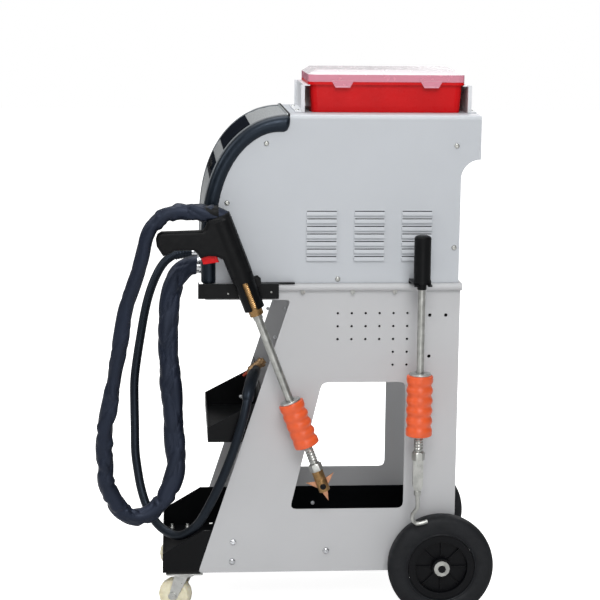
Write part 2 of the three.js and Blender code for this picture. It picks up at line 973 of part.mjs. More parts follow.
function noseCorner(step, inset) {
  const point = noseLine.getPoint(step / noseSteps);
  const along = noseLine.getTangent(step / noseSteps);
  return point.add(new THREE.Vector2(-along.y, along.x).multiplyScalar(inset));
}

// Every piece on the nose follows the same flats, so a place between two corners lies on their line.
function noseAt(share, inset) {
  const step = Math.min(Math.floor(share * noseSteps), noseSteps - 1);
  return noseCorner(step, inset).lerp(noseCorner(step + 1, inset), share * noseSteps - step);
}

function noseRun(inset, from, to) {
  const [first, last] = [Math.min(from, to), Math.max(from, to)];
  const shares = [first];
  for (let step = Math.ceil(first * noseSteps); step <= last * noseSteps; step++) {
    shares.push(step / noseSteps);
  }
  shares.push(last);
  const points = shares
    .filter((share, i) => !i || share > shares[i - 1])
    .map((share) => noseAt(share, inset).toArray());
  return from > to ? points.reverse() : points;
}

const noseBand = (outer, inner, from, to) =>
  outline([...noseRun(outer, from, to), ...noseRun(inner, to, from)]);

function rearArc(radius, shape, fromAngle, toAngle, clockwise) {
  shape.absarc(unitRear, deckTop + rearStepHeight, radius, fromAngle, toAngle, clockwise);
}

// The side of the cover: the trim's inner line, the top, and the stepped back.
function coverOutline() {
  const shape = new THREE.Shape();
  const front = noseRun(trimDepth + seatGap, 1, 0);
  shape.moveTo(...front[0]);
  front.slice(1).forEach((point) => shape.lineTo(...point));
  shape.lineTo(coverFront, front.at(-1)[1]);
  shape.lineTo(coverFront, unitTop);
  shape.lineTo(unitRear, unitTop);
  rearArc(rearStep, shape, Math.PI / 2, Math.PI, false);
  shape.lineTo(lowerRear, unitBase);
  shape.closePath();
  return shape;
}

// One louvre: a wedge pressed out of the sheet, open below. Its own frame: x along, y outwards, z up.
function louvreWedge(length, height, proud, back) {
  return slabYZ(
    outline([[-back, 0], [proud, 0], [0, height], [-back, height]]),
    -length / 2,
    length / 2,
  );
}

function housingCover() {
  const section = rectangle(-halfCart, unitBase - coverEdgeRadius * 2, halfCart, unitTop, coverEdgeRadius);
  const hollow = rectangle(
    -halfCart + coverSheet,
    unitBase - coverEdgeRadius * 2,
    halfCart - coverSheet,
    unitTop - coverSheet,
    coverEdgeRadius - coverSheet,
  );
  const tunnel = slabYZ(section, unitFront, unitRear + overrun).subtract(
    slabYZ(hollow, unitFront - overrun, unitRear + overrun + overrun),
  );
  let cover = tunnel.intersect(slabXZ(coverOutline(), -halfCart - overrun, halfCart + overrun, 0, arcCurve));
  const slit = louvreWedge(
    louvreLength - coverSheet * 2,
    louvreHeight - coverSheet,
    louvreProud - coverSheet / 2,
    coverSheet + overrun,
  );
  const bumps = [];
  const slits = [];
  for (const { sign } of sides) {
    for (let column = 0; column < louvreColumns; column++) {
      for (let row = 0; row < louvreRows; row++) {
        const x = louvreFirstX + column * louvreColumnPitch;
        const z = unitTop - louvreTopDrop - louvrePitch * row - louvreHeight;
        const seat = (solid) => moved(turnedBy(solid, axisZ, sign > 0 ? 0 : 180), x, sign * halfCart, z);
        bumps.push(seat(louvreWedge(louvreLength, louvreHeight, louvreProud, coverSheet / 2)));
        slits.push(seat(slit));
      }
    }
  }
  cover = wasm.Manifold.union([cover, ...bumps]);
  return cover.subtract(wasm.Manifold.union(slits));
}
const louvreFirstX = -louvreLeft - louvreLength;

function basePan() {
  const notch = unitFront + trimDepth + seatGap + seatGap;
  const front = unitFront + panelInset + coverSheet + seatGap;
  const rear = lowerRear - coverSheet - seatGap;
  const narrow = panelHalf - seatGap;
  const floor = outline([
    [front, -narrow],
    [notch, -narrow],
    [notch, -insideHalf],
    [rear, -insideHalf],
    [rear, insideHalf],
    [notch, insideHalf],
    [notch, narrow],
    [front, narrow],
  ]);
  const sheet = slabXY(floor, unitBase, panTop);
  const frontFlange = block(front, -narrow, unitBase, front + coverSheet, narrow, unitBase + panFlange);
  const rearFlange = block(rear - coverSheet, -insideHalf, unitBase, rear, insideHalf, unitBase + panFlange);
  return joined(sheet, frontFlange, rearFlange);
}

const fanZ = deckTop + fanRise;
const switchZ = deckTop + switchRise;
const glandZ = deckTop + glandRise;

// The back sheet follows the stepped profile, with fan slots, the switch frame and the gland hole.
function rearPanel() {
  const shape = new THREE.Shape();
  const top = unitTop - coverSheet - seatGap;
  const outerArc = rearStep;
  const innerArc = rearStep + coverSheet;
  const endAngle = Math.PI / 2 + Math.asin(coverSheet / innerArc);
  shape.moveTo(lowerRear - coverSheet, unitBase);
  shape.lineTo(lowerRear, unitBase);
  rearArc(outerArc, shape, Math.PI, Math.PI / 2, true);
  shape.lineTo(unitRear, top);
  shape.lineTo(unitRear - coverSheet, top);
  rearArc(innerArc, shape, endAngle, Math.PI, false);
  shape.closePath();
  const round = coverEdgeRadius - coverSheet;
  const opening = rectangle(-insideHalf, unitBase - round * 2, insideHalf, top, round);
  const sheet = slabXZ(shape, -insideHalf, insideHalf, 0, arcCurve).intersect(
    slabYZ(opening, 0, unitRear + overrun),
  );
  const cuts = [];
  const reach = fanSize / 2 - fanWall;
  for (let i = 0; i < fanSlots; i++) {
    const offset = (i - (fanSlots - 1) / 2) * fanSlotPitch;
    const half = Math.sqrt(reach * reach - offset * offset);
    const slot = rectangle(-half, offset - fanSlotHeight / 2, half, offset + fanSlotHeight / 2);
    cuts.push(moved(slabYZ(slot, lowerRear - overrun, lowerRear + overrun), 0, 0, fanZ));
  }
  const glandHole = alongX(pin(glandThreadRadius + seatGap, lowerRear - overrun, lowerRear + overrun));
  cuts.push(moved(glandHole, 0, glandOffset, glandZ));
  const halfWide = switchWidth / 2;
  const halfTall = switchLength / 2;
  const [rimWide, rimTall] = [halfWide + switchFrame, halfTall + switchFrame];
  const rim = rectangle(-rimWide, -rimTall, rimWide, rimTall, switchFrame);
  const hole = rectangle(-halfWide, -halfTall, halfWide, halfTall);
  const seat = (solid) => moved(solid, 0, -switchOffset, switchZ);
  const frame = seat(slabYZ(rim, lowerRear - coverSheet, lowerRear + switchFrameProud));
  cuts.push(seat(slabYZ(hole, lowerRear - overrun, lowerRear + overrun)));
  return sheet.add(frame).subtract(wasm.Manifold.union(cuts));
}

// A rocker in its own frame: the pivot is the origin, +X points out of the panel and its upper half is in.
function rocker() {
  const reach = switchLength / 2 - slideGap;
  const half = switchWidth / 2 - slideGap;
  const raised = switchFrameProud + reach * Math.tan(THREE.MathUtils.degToRad(switchTurn));
  const side = outline([
    [-switchDepth / 2, -reach],
    [raised, -reach],
    [switchFrameProud, 0],
    [switchFrameProud, reach],
    [-switchDepth / 2, reach],
  ]);
  return slabXZ(side, -half, half).intersect(alongY(pin(reach, -half - overrun, half + overrun)));
}

// A cable gland without its cable; its own axis is X, and x = 0 is the panel's outer face.
function mainsGland() {
  const inside = coverSheet + glandInnerLength;
  const profile = [
    [glandBoreRadius, -inside],
    [glandThreadRadius, -inside],
    [glandThreadRadius, seatGap],
    [glandNutRadius, seatGap],
    [glandNutRadius, glandLength],
    [glandTailRadius, glandLength],
    [glandTipRadius, glandLength + glandTailLength],
    [glandBoreRadius, glandLength + glandTailLength],
    [glandBoreRadius, -inside],
  ];
  return alongX(turned(profile, smallSides));
}

function nosePiece(outer, inner, from, to, half) {
  return slabXZ(noseBand(outer, inner, from, to), -half, half);
}

// A pin square to the nose line at a share of it, at a place across the machine.
function nosePin(share, y, radius, outer, inner) {
  const point = noseAt(share, 0);
  const inward = noseAt(share, panelInset).sub(point).normalize();
  const axis = new THREE.Vector3(inward.x, 0, inward.y);
  const place = new THREE.Matrix4().makeRotationFromQuaternion(
    new THREE.Quaternion().setFromUnitVectors(axisZ, axis),
  );
  place.setPosition(point.x, y, point.y);
  return placed(pin(radius, outer, inner), place);
}

const panelInner = panelInset + coverSheet;
const keypadShare = (keypadFromShare + keypadToShare) / 2;
const buttonPlaces = Array.from(
  { length: buttonCount },
  (_, i) => (i - (buttonCount - 1) / 2) * buttonSpacing,
);

function terminalBore(sign) {
  const [from, to] = [unitFront - overrun, unitFront + panelInner + overrun];
  const hole = alongX(pin(terminalThreadRadius + seatGap, from, to));
  return moved(hole, 0, sign * terminalOffset, terminalZ);
}

function frontPanel() {
  const panel = nosePiece(panelInset, panelInner, 0, 1, panelHalf);
  const cuts = buttonPlaces.map((y) =>
    nosePin(keypadShare, y, buttonRadius + seatGap, -overrun, panelInner + overrun),
  );
  sides.forEach(({ sign }) => cuts.push(terminalBore(sign)));
  return panel.subtract(wasm.Manifold.union(cuts));
}

function noseWindow(from, to) {
  const inner = windowGlass - windowGlassProud;
  return nosePiece(-windowGlassProud, inner, from, to, panelHalf - windowGlassSide);
}

function keypadWindow() {
  const cuts = buttonPlaces.map((y) =>
    nosePin(keypadShare, y, buttonRadius + seatGap, -overrun, panelInner + overrun),
  );
  return noseWindow(keypadFromShare, keypadToShare).subtract(wasm.Manifold.union(cuts));
}

function pushButton(y) {
  const flangeFace = panelInner + seatGap;
  const end = flangeFace + buttonTravel + buttonFlangeHeight;
  const cap = nosePin(keypadShare, y, buttonRadius, -windowGlassProud - buttonProud, end);
  const flange = nosePin(keypadShare, y, buttonRadius + buttonFlange, flangeFace, end);
  return cap.add(flange);
}

// The bumper trims run down both edges of the nose, proud of the cover's sides.
function noseTrim(sign) {
  const outer = halfCart + trimProud;
  const inner = outer - trimWidth;
  const low = sign > 0 ? inner : -outer;
  return slabXZ(noseBand(0, trimDepth, 0, 1), low, low + trimWidth, trimRound);
}

// Power unit inside

function coreFrame() {
  const low = panTop + seatGap;
  const front = -coreSetback - coreLength;
  const shape = rectangle(front, low, front + coreLength, low + coreHeight);
  shape.holes.push(
    rectangle(front + coreLimb, low + coreLimb, front + coreLength - coreLimb, low + coreHeight - coreLimb),
  );
  return slabXZ(shape, -coreDepth / 2, coreDepth / 2);
}

// A coil former's outer form round one limb of the core.
function winding(limbFront) {
  const inner = seatGap;
  const low = panTop + seatGap + coreLimb + seatGap;
  const high = panTop + seatGap + coreHeight - coreLimb - seatGap;
  const outer = inner + windingThickness;
  const shape = rectangle(
    limbFront - outer,
    -coreDepth / 2 - outer,
    limbFront + coreLimb + outer,
    coreDepth / 2 + outer,
    windingCorner,
  );
  shape.holes.push(
    rectangle(limbFront - inner, -coreDepth / 2 - inner, limbFront + coreLimb + inner, coreDepth / 2 + inner),
  );
  return slabXY(shape, low, high);
}

// The power board stands on the pan on its own foot, with capacitors on one face and a finned sink behind.
function powerBoard() {
  const low = panTop + seatGap;
  const front = -boardFrontSetback;
  const rear = front + boardLength;
  const board = block(front, boardOffset, low, rear, boardOffset + boardSheet, low + boardHeight);
  const foot = block(front, boardOffset, low, rear, boardOffset + boardFoot, low + boardSheet);
  const sinkFront = front + (boardLength - sinkLength) / 2;
  const sinkLow = low + (boardHeight - sinkHeight) / 2;
  const sinkHigh = sinkLow + sinkHeight;
  const sinkFace = boardOffset + boardSheet - weldSink;
  const finEnd = sinkFace + sinkBase + sinkFinHeight;
  const parts = [
    foot,
    block(sinkFront, sinkFace, sinkLow, sinkFront + sinkLength, sinkFace + sinkBase, sinkHigh),
  ];
  const pitch = (sinkLength - sinkFinSheet) / (sinkFins - 1);
  for (let i = 0; i < sinkFins; i++) {
    const x = sinkFront + i * pitch;
    parts.push(block(x, sinkFace, sinkLow, x + sinkFinSheet, finEnd, sinkHigh));
  }
  for (let i = 0; i < capCount; i++) {
    const x = front + (boardLength * (i + 1)) / (capCount + 1);
    const can = alongY(pin(capRadius, -capHeight, weldSink, smallSides));
    parts.push(moved(can, x, boardOffset, low + boardHeight / 2));
  }
  return joined(board, ...parts);
}

const fanRear = lowerRear - coverSheet - seatGap;

function fanFrame() {
  const half = fanSize / 2;
  const shape = rectangle(-half, -half, half, half, fanWall);
  const housing = slabYZ(shape, fanRear - fanDepth, fanRear);
  const bore = alongX(pin(half - fanWall, fanRear - fanDepth - overrun, fanRear + overrun, wheelSides));
  const motor = alongX(pin(fanMotorRadius, fanRear - fanMotorDepth, fanRear));
  const strut = block(fanRear - fanMotorDepth, -fanStrut / 2, -half, fanRear, fanStrut / 2, half);
  const struts = [0, 90].map((angle) => turnedBy(strut, axisX, angle + 45));
  const spider = joined(motor, ...struts);
  const shaftFrom = fanRear - fanMotorDepth - overrun;
  const shaftHole = alongX(pin(fanShaftRadius + seatGap, shaftFrom, fanRear - cartSheet));
  const outside = alongX(pin(half - weldSink, fanRear - fanDepth, fanRear, wheelSides));
  const frame = housing.subtract(bore).add(spider.intersect(outside));
  return moved(frame.subtract(shaftHole), 0, 0, fanZ);
}

function fanRotor() {
  const back = fanRear - fanMotorDepth - seatGap;
  const front = fanRear - fanDepth + seatGap;
  const hub = alongX(pin(fanMotorRadius, front, back));
  const shaft = alongX(pin(fanShaftRadius, back - weldSink, fanRear - cartSheet - seatGap, smallSides));
  const tip = fanSize / 2 - fanWall - fanTipGap;
  const half = fanBladeChord / 2;
  const blade = block(-fanBladeSheet / 2, -half, fanMotorRadius - cartSheet, fanBladeSheet / 2, half, tip);
  const pitched = moved(turnedBy(blade, axisZ, fanBladePitch), (front + back) / 2, 0, 0);
  const sweep = alongX(pin(tip, front, back, wheelSides));
  const parts = [shaft];
  for (let i = 0; i < fanBlades; i++) {
    parts.push(turnedBy(pitched, axisX, (360 / fanBlades) * i).intersect(sweep));
  }
  return moved(joined(hub, ...parts), 0, 0, fanZ);
}

// An output terminal through the front panel; its nose is where the lead's sleeve ends.
const terminalFace = unitFront + panelInset - seatGap - terminalFlangeLength;
const terminalEnd = terminalFace - terminalNoseLength;
function outputTerminal(sign, noseRadius) {
  const back = unitFront + panelInner + terminalBackLength;
  const profile = [
    [0, terminalEnd],
    [noseRadius, terminalEnd],
    [noseRadius, terminalFace],
    [terminalFlangeRadius, terminalFace],
    [terminalFlangeRadius, terminalFace + terminalFlangeLength],
    [terminalThreadRadius, terminalFace + terminalFlangeLength],
    [terminalThreadRadius, back],
    [0, back],
  ];
  return moved(alongX(turned(profile)), 0, sign * terminalOffset, terminalZ);
}

// Parts box

const boxTubHalf = [boxTubLength / 2, boxTubWidth / 2];
const boxRimHalf = [boxRimLength / 2, boxRimWidth / 2];

function partsBox() {
  const rimLow = boxHeight - boxRimHeight;
  const tubFoot = boxTubHalf.map((half) => half - boxTubTaper);
  const tub = loft([
    roundedRing(...tubFoot, boxCorner, 0),
    roundedRing(...boxTubHalf, boxCorner, rimLow + weldSink),
  ]);
  const rim = loft([
    roundedRing(...boxRimHalf, boxCorner, rimLow),
    roundedRing(...boxRimHalf, boxCorner, boxHeight),
  ]);
  const hollowHalf = boxTubHalf.map((half) => half - boxWall);
  const hollowFoot = hollowHalf.map((half) => half - boxTubTaper);
  const hollow = loft([
    roundedRing(...hollowFoot, boxCorner - boxWall, boxWall),
    roundedRing(...hollowHalf, boxCorner - boxWall, boxHeight + overrun),
  ]);
  const dividers = [];
  for (let i = 1; i <= boxDividers; i++) {
    const x = -boxTubHalf[0] + (boxTubLength * i) / (boxDividers + 1);
    const wall = boxTubHalf[1] - boxTubTaper;
    dividers.push(block(x - boxWall / 2, -wall, boxWall / 2, x + boxWall / 2, wall, rimLow));
  }
  const shell = joined(joined(tub, rim).subtract(hollow), ...dividers);
  const pinHeight = lidPinZ - boxBase;
  const lugs = [];
  for (const side of [-1, 1]) {
    const x = side * lidEarSpread;
    const rod = alongX(pin(lidPinRadius, x - lidEarWidth, x + lidEarWidth, smallSides));
    lugs.push(moved(rod, 0, lidPinY, pinHeight));
    for (const end of [-1, 1]) {
      const lugX = x + end * (lidEarWidth - lidLugWidth / 2);
      const root = boxRimHalf[1] - weldSink;
      const plate = outline([
        [root, rimLow],
        [lidPinY, rimLow],
        [lidPinY + lidLugReach, pinHeight - lidPinRadius],
        [lidPinY + lidLugReach, pinHeight + lidPinRadius],
        [lidPinY - lidPinRadius, pinHeight + lidPinRadius],
        [lidPinY - lidPinRadius, pinHeight - lidPinRadius],
        [root, pinHeight - lidPinRadius],
      ]);
      lugs.push(slabYZ(plate, lugX - lidLugWidth / 2, lugX + lidLugWidth / 2));
    }
  }
  return joined(shell, ...lugs);
}

// The clear lid, in the frame of the box: bevelled walls, open below, with two ears round the pins.
function boxLid() {
  const low = boxHeight + seatGap;
  const high = low + lidHeight;
  const tapered = boxRimHalf.map((half) => half - lidTaper);
  const innerHalf = boxRimHalf.map((half) => half - lidWall);
  const innerTapered = tapered.map((half) => half - lidWall);
  const outer = loft([
    roundedRing(...boxRimHalf, boxCorner, low),
    roundedRing(...boxRimHalf, boxCorner, low + lidHeight * lidKneeShare),
    roundedRing(...tapered, boxCorner, high),
  ]);
  const inner = loft([
    roundedRing(...innerHalf, boxCorner - lidWall, low - overrun),
    roundedRing(...innerHalf, boxCorner - lidWall, low + lidHeight * lidKneeShare),
    roundedRing(...innerTapered, boxCorner - lidWall, high - lidWall),
  ]);
  const pinHeight = lidPinZ - boxBase;
  const half = lidEarWidth - lidLugWidth - slideGap;
  const ears = [-1, 1].map((side) => {
    const x = side * lidEarSpread;
    const knuckle = alongX(pin(lidEarRadius, -half, half, smallSides));
    const tab = block(-half, -lidPinSetback - weldSink, slideGap, half, 0, lidEarRadius);
    return moved(knuckle.add(tab), x, lidPinY, pinHeight);
  });
  const bores = [-1, 1].map((side) => {
    const bore = alongX(pin(lidPinRadius + seatGap, -half - overrun, half + overrun));
    return moved(bore, side * lidEarSpread, lidPinY, pinHeight);
  });
  const roomHalf = boxRimHalf.map((half) => half + seatGap);
  const rimRoom = loft([
    roundedRing(...roomHalf, boxCorner, 0),
    roundedRing(...roomHalf, boxCorner, low),
  ]);
  return without(joined(outer.subtract(inner), ...ears), ...bores, rimRoom);
}

// A latch hangs from the lid's edge over the rim, with a finger grip along its lower edge.
const latchY = boxRimWidth / 2 + seatGap;
function lidLatch(x) {
  const top = boxHeight + seatGap + latchRise;
  const low = top - latchHeight;
  const face = outline([
    [x - latchTopWidth / 2, top],
    [x - latchBottomWidth / 2, low],
    [x + latchBottomWidth / 2, low],
    [x + latchTopWidth / 2, top],
  ]);
  const plate = slabXZ(face, -latchY - latchSheet, -latchY);
  const half = latchBottomWidth / 2;
  const outerFace = -latchY - latchSheet;
  const grip = block(x - half, outerFace - latchGrip, low, x + half, outerFace + weldSink, low + latchGrip);
  return plate.add(grip);
}

// The box stands between two sheet brackets whose lips reach in under its rim.
function boxBracket(direction) {
  const wall = boxRimLength / 2 + bracketWallGap;
  const lipTop = boxHeight - boxRimHeight - seatGap;
  const lipEnd = boxTubLength / 2 + slideGap;
  const profile = [
    [lipEnd, lipTop - bracketSheet],
    [wall, lipTop - bracketSheet],
    [wall, 0],
    [wall + bracketFoot, 0],
    [wall + bracketFoot, bracketSheet],
    [wall + bracketSheet, bracketSheet],
    [wall + bracketSheet, lipTop],
    [lipEnd, lipTop],
  ].map(([x, z]) => [x * direction, z]);
  const half = bracketDepth / 2;
  const flange = outline(
    [
      [wall, 0],
      [wall + bracketSheet + bracketFlange, 0],
      [wall + bracketSheet + bracketFlange, lipTop],
      [wall, lipTop],
    ].map(([x, z]) => [x * direction, z]),
  );
  return joined(
    slabXZ(outline(profile), -half, half),
    slabXZ(flange, -half, bracketSheet - half),
    slabXZ(flange, half - bracketSheet, half),
  );
}

// Gun, in its own frame: the nose's lower end is the origin, +Z points back up the barrel, and +X is the
// side that faces the rear of the machine.

function gunBracket(gunPlace) {
  const webOuter = gunOffset - holsterRadius + weldSink;
  const webInner = webOuter - cartSheet;
  const front = unitFront + gunWebSetback;
  const rear = front + gunWebLength;
  const top = unitBase + cartSheet;
  const low = top - gunWebDepth;
  const web = block(front, -webOuter, low, rear, -webInner, top);
  const returnFlange = block(front, -webInner - weldSink, low, front + cartSheet, -halfCart - cartSheet, top);
  const shelf = outline([
    [rear - gunTabLength + gunTabTail, -webInner - weldSink],
    [rear, -webInner - weldSink],
    [rear, -lipOuter],
    [rear + gunTabTail, -lipOuter],
    [rear + gunTabTail, -halfCart - seatGap - seatGap],
    [rear - gunTabLength + gunTabTail, -halfCart - seatGap - seatGap],
  ]);
  const tab = slabXY(shelf, unitBase, top);
  const holsterTo = holsterFrom + holsterLength;
  const holster = placed(pin(holsterRadius, holsterFrom, holsterTo), gunPlace);
  const bore = placed(
    pin(holsterRadius - holsterWall, holsterFrom - overrun, holsterTo + overrun),
    gunPlace,
  );
  const slot = block(
    -holsterSlot / 2,
    -holsterRadius - overrun,
    holsterFrom - overrun,
    holsterSlot / 2,
    0,
    holsterTo + overrun,
  );
  return without(joined(web, returnFlange, tab, holster), bore, placed(slot, gunPlace));
}

const barrelLow = holsterFrom + holsterLength + seatGap;
const barrelHigh = barrelLow + barrelLength;

function gunPoint([across, along]) {
  return [across * gripReach, barrelLow + along * barrelLength];
}

function gunSideOutline() {
  const corner = Object.fromEntries(
    Object.entries(gunSideShares).map(([name, shares]) => [name, gunPoint(shares)]),
  );
  const shape = new THREE.Shape();
  shape.moveTo(...corner.footFront);
  shape.lineTo(...corner.footRear);
  shape.lineTo(...corner.headRear);
  shape.lineTo(...corner.headFront);
  shape.quadraticCurveTo(...corner.rootBend, ...corner.root);
  shape.lineTo(...corner.heelTop);
  shape.quadraticCurveTo(...corner.heelBend, ...corner.heel);
  shape.lineTo(...corner.heelLow);
  shape.quadraticCurveTo(...corner.palmBend, ...corner.palm);
  shape.lineTo(...corner.gripLow);
  shape.quadraticCurveTo(...corner.guardBend, ...corner.guard);
  shape.quadraticCurveTo(...corner.chinBend, ...corner.chin);
  shape.closePath();
  return shape;
}

function gunTrigger() {
  const { toe, heel, back, front } = triggerShares;
  const side = outline([gunPoint(toe), gunPoint(heel), gunPoint(back), gunPoint(front)]);
  return slabXZ(side, -triggerWidth / 2, triggerWidth / 2, triggerRound);
}

// The lead's sleeve leaves the top of the barrel level, towards the front of the machine.
const sleeveSpigotPlace = new THREE.Vector3(
  -barrelRadius * sleeveAcrossShare,
  0,
  barrelHigh + barrelRadius * sleeveRiseShare,
);
const sleeveSpigot = moved(
  turnedBy(pin(sleeveSpigotRadius, -barrelRadius / 2, sleeveSpigotLength), axisY, gunTilt - 90),
  ...sleeveSpigotPlace.toArray(),
);

function gunShell(sign) {
  const barrel = turned([
    [0, barrelLow],
    [barrelFootRadius, barrelLow],
    [barrelRadius, barrelLow + barrelRadius],
    [barrelRadius, barrelHigh - gripRound],
    [barrelRadius - gripRound, barrelHigh],
    [0, barrelHigh],
  ]);
  const handle = slabXZ(gunSideOutline(), -gripWidth / 2, gripWidth / 2, gripRound, gripCurve);
  const whole = joined(barrel, handle, sleeveSpigot);
  const [pocketFront] = gunPoint(triggerShares.front);
  const [pocketRear, pocketLow] = gunPoint(triggerShares.heel);
  const [, pocketHigh] = gunPoint(triggerShares.back);
  const halfPocket = triggerWidth / 2 + seatGap;
  const pocket = block(
    pocketFront - slideGap - slideGap,
    -halfPocket,
    pocketLow,
    pocketRear + slideGap,
    halfPocket,
    pocketHigh + triggerTravel + slideGap,
  );
  const noseBore = pin(gunNoseRadius + seatGap, barrelLow - overrun, barrelLow + gunNoseInside + seatGap);
  const low = sign > 0 ? gunSplit / 2 : -barrelRadius - overrun;
  const high = sign > 0 ? barrelRadius + overrun : -gunSplit / 2;
  const reach = gripReach + barrelLength;
  const half = block(-reach, low, barrelLow - overrun, reach, high, barrelHigh + reach);
  return without(whole.intersect(half), pocket, noseBore);
}

// The brass nose fills the holster, shows through its slot, and ends in a collar below it.
function gunNose() {
  return turned([
    [0, 0],
    [collarRadius, 0],
    [collarRadius, holsterFrom - cartSheet],
    [gunNoseRadius, holsterFrom],
    [gunNoseRadius, barrelLow + gunNoseInside],
    [0, barrelLow + gunNoseInside],
  ]).subtract(pin(gunNoseBore + seatGap, -overrun, gunNoseInside));
}

// A slide rod hangs from z = 0 down: collar, plain rod, the weight's stop and a threaded end.
function slideRod(radius, stop, length) {
  return [
    [0, -length],
    [threadRadius, -length],
    [threadRadius, stop - stopLength],
    [stopRadius, stop - stopLength],
    [stopRadius, stop],
    [radius, stop],
  ];
}

// The gun's rod has a collar under the nose and a spigot inside it.
function gunSlideRod() {
  return turned([
    ...slideRod(gunRodRadius, -gunWeightTop - gunWeightLength - seatGap, gunRodLength),
    [gunRodRadius, -gunRodCollarLength],
    [gunRodCollar, -gunRodCollarLength],
    [gunRodCollar, -seatGap],
    [gunNoseBore, -seatGap],
    [gunNoseBore, gunNoseInside - seatGap],
    [0, gunNoseInside - seatGap],
  ]);
}

// A slide weight with finger grooves and a plain steel washer at its upper end.
function slideWeight(bore, radius, waves, top, length) {
  const low = top - length;
  const body = length - weightWasherLength;
  const count = waves * weightWaveSteps;
  const wave = Array.from({ length: count + 1 }, (_, i) => {
    const swell = Math.abs(Math.sin((Math.PI * waves * i) / count));
    const height = low + (body * i) / count;
    return [radius - weightGroove * (1 - swell), height];
  });
  return turned([
    [bore, low],
    ...wave,
    [radius * weightWasherShare, low + body],
    [radius * weightWasherShare, top],
    [bore, top],
    [bore, low],
  ], weightSides);
}

// The brass holder: a nut on the rod's thread, a slotted barrel and a cross hole for the bit's screw.
function electrodeHolder(top) {
  const nutLow = top - holderNutLength;
  const low = nutLow - holderLength;
  const nut = hexagon(holderNutAcross, nutLow - weldSink, top);
  const barrel = pin(holderRadius, low, nutLow, holeSides);
  const reach = holderRadius + overrun;
  const slot = block(
    -reach,
    -holderSlot / 2,
    low - overrun,
    reach,
    holderSlot / 2,
    low + holderSlotLength,
  );
  const screwHole = alongY(pin(holderScrewRadius, -reach, reach, smallSides));
  const screw = moved(screwHole, 0, 0, nutLow - starSetback);
  const threadHole = pin(threadRadius + seatGap, nutLow + cartSheet, top + overrun);
  return without(joined(nut, barrel), slot, screw, threadHole);
}

function starBit() {
  const shape = new THREE.Shape();
  const count = starPoints * 2;
  for (let i = 0; i < count; i++) {
    const radius = i % 2 ? starValley : starRadius;
    const angle = -Math.PI / 2 + (Math.PI * 2 * i) / count;
    const [a, b] = [radius * Math.cos(angle), radius * Math.sin(angle)];
    if (i) shape.lineTo(a, b);
    else shape.moveTo(a, b);
  }
  shape.closePath();
  shape.holes.push(circle(0, 0, holderScrewRadius, smallSides));
  return slabXZ(shape, -starSheet / 2, starSheet / 2);
}

// Second slide hammer, in its own frame: z = 0 is the handle's lower face on the hanger.
function toolHandle() {
  const top = toolHandleLength;
  return turned([
    [0, -toolNeckLength],
    [toolNeckRadius, -toolNeckLength],
    [toolNeckRadius, 0],
    [toolHandleRadius + toolHandleFlare, 0],
    [toolHandleRadius + toolHandleFlare, toolFlareLength],
    [toolHandleRadius, toolFlareLength + toolFlareLength],
    ...toolDomeShares.map(([across, along]) => [
      toolHandleRadius * across,
      top - toolHandleDome + toolHandleDome * along,
    ]),
    [0, top],
  ]).subtract(pin(toolRodRadius + seatGap, -toolNeckLength - overrun, top / 2));
}

const toolWeightTop = -toolWeightDrop;
const toolWeightLow = toolWeightTop - toolWeightLength;
const toolNutTop = toolWeightLow - toolThreadLength;

function toolRod() {
  return turned([
    ...slideRod(toolRodRadius, toolWeightLow - seatGap, toolRodInNut - toolNutTop),
    [toolRodRadius, toolHandleLength / 2 - seatGap],
    [0, toolHandleLength / 2 - seatGap],
  ]);
}

// The pull hook: nut, flat shank, taper and a bent round end.
function pullHook() {
  const nutLow = toolNutTop - hookNutLength;
  const shankLow = nutLow - hookShankLength;
  const rodTop = shankLow - hookTaperLength;
  const rodLow = rodTop - hookRodLength;
  const nut = hexagon(hookNutAcross, nutLow - weldSink, toolNutTop - seatGap).subtract(
    pin(threadRadius + seatGap, nutLow + cartSheet, toolNutTop + overrun),
  );
  const half = hookShankWidth / 2;
  const face = outline([
    [-half, nutLow],
    [-half, shankLow],
    [-hookRodRadius, rodTop],
    [hookRodRadius, rodTop],
    [half, shankLow],
    [half, nutLow],
  ]);
  const shank = slabXZ(face, -hookShankThickness / 2, hookShankThickness / 2);
  const bottom = rodLow - hookBend;
  const path = [
    [0, shankLow],
    [0, rodTop],
    [0, rodLow + hookKink],
    [-hookKink * hookKinkShare, rodLow],
    [-hookKink, rodLow - hookBend / 2],
    [-hookKink * hookTurnShare, bottom],
    [hookTipLength * hookRiseShare, bottom],
    [hookTipLength, bottom + hookRodRadius],
  ].map(([x, z]) => new THREE.Vector3(x, 0, z));
  return joined(nut, shank, tube(path, hookRodRadius, leadSides, hookSteps));
}

// The hanger is a fork bent up from the deck's lip; the tool's neck slides in between its tines.
const hangerTop = unitBase + hangerRise + hangerSheet;
function toolHanger() {
  const half = hangerWidth / 2;
  const slot = toolNeckRadius + slideGap;
  const end = toolOffset + hangerReach;
  const root = lipOuter - hangerSheet;
  const foot = outline([
    [-root, unitBase],
    [-halfCart - seatGap - seatGap, unitBase],
    [-halfCart - seatGap - seatGap, unitBase + hangerSheet],
    [-root + hangerSheet, unitBase + hangerSheet],
    [-root + hangerSheet, hangerTop],
    [-root, hangerTop],
  ]);
  const shape = new THREE.Shape();
  shape.moveTo(-half, -root + weldSink);
  shape.lineTo(-half, -end);
  shape.lineTo(-slot, -end);
  shape.lineTo(-slot, -toolOffset);
  shape.absarc(0, -toolOffset, slot, Math.PI, 0, true);
  shape.lineTo(slot, -end);
  shape.lineTo(half, -end);
  shape.lineTo(half, -root + weldSink);
  shape.closePath();
  const fork = slabXY(shape, hangerTop - hangerSheet, hangerTop, 0, arcCurve);
  return moved(fork.add(slabYZ(foot, -half, half)), toolX, 0, 0);
}

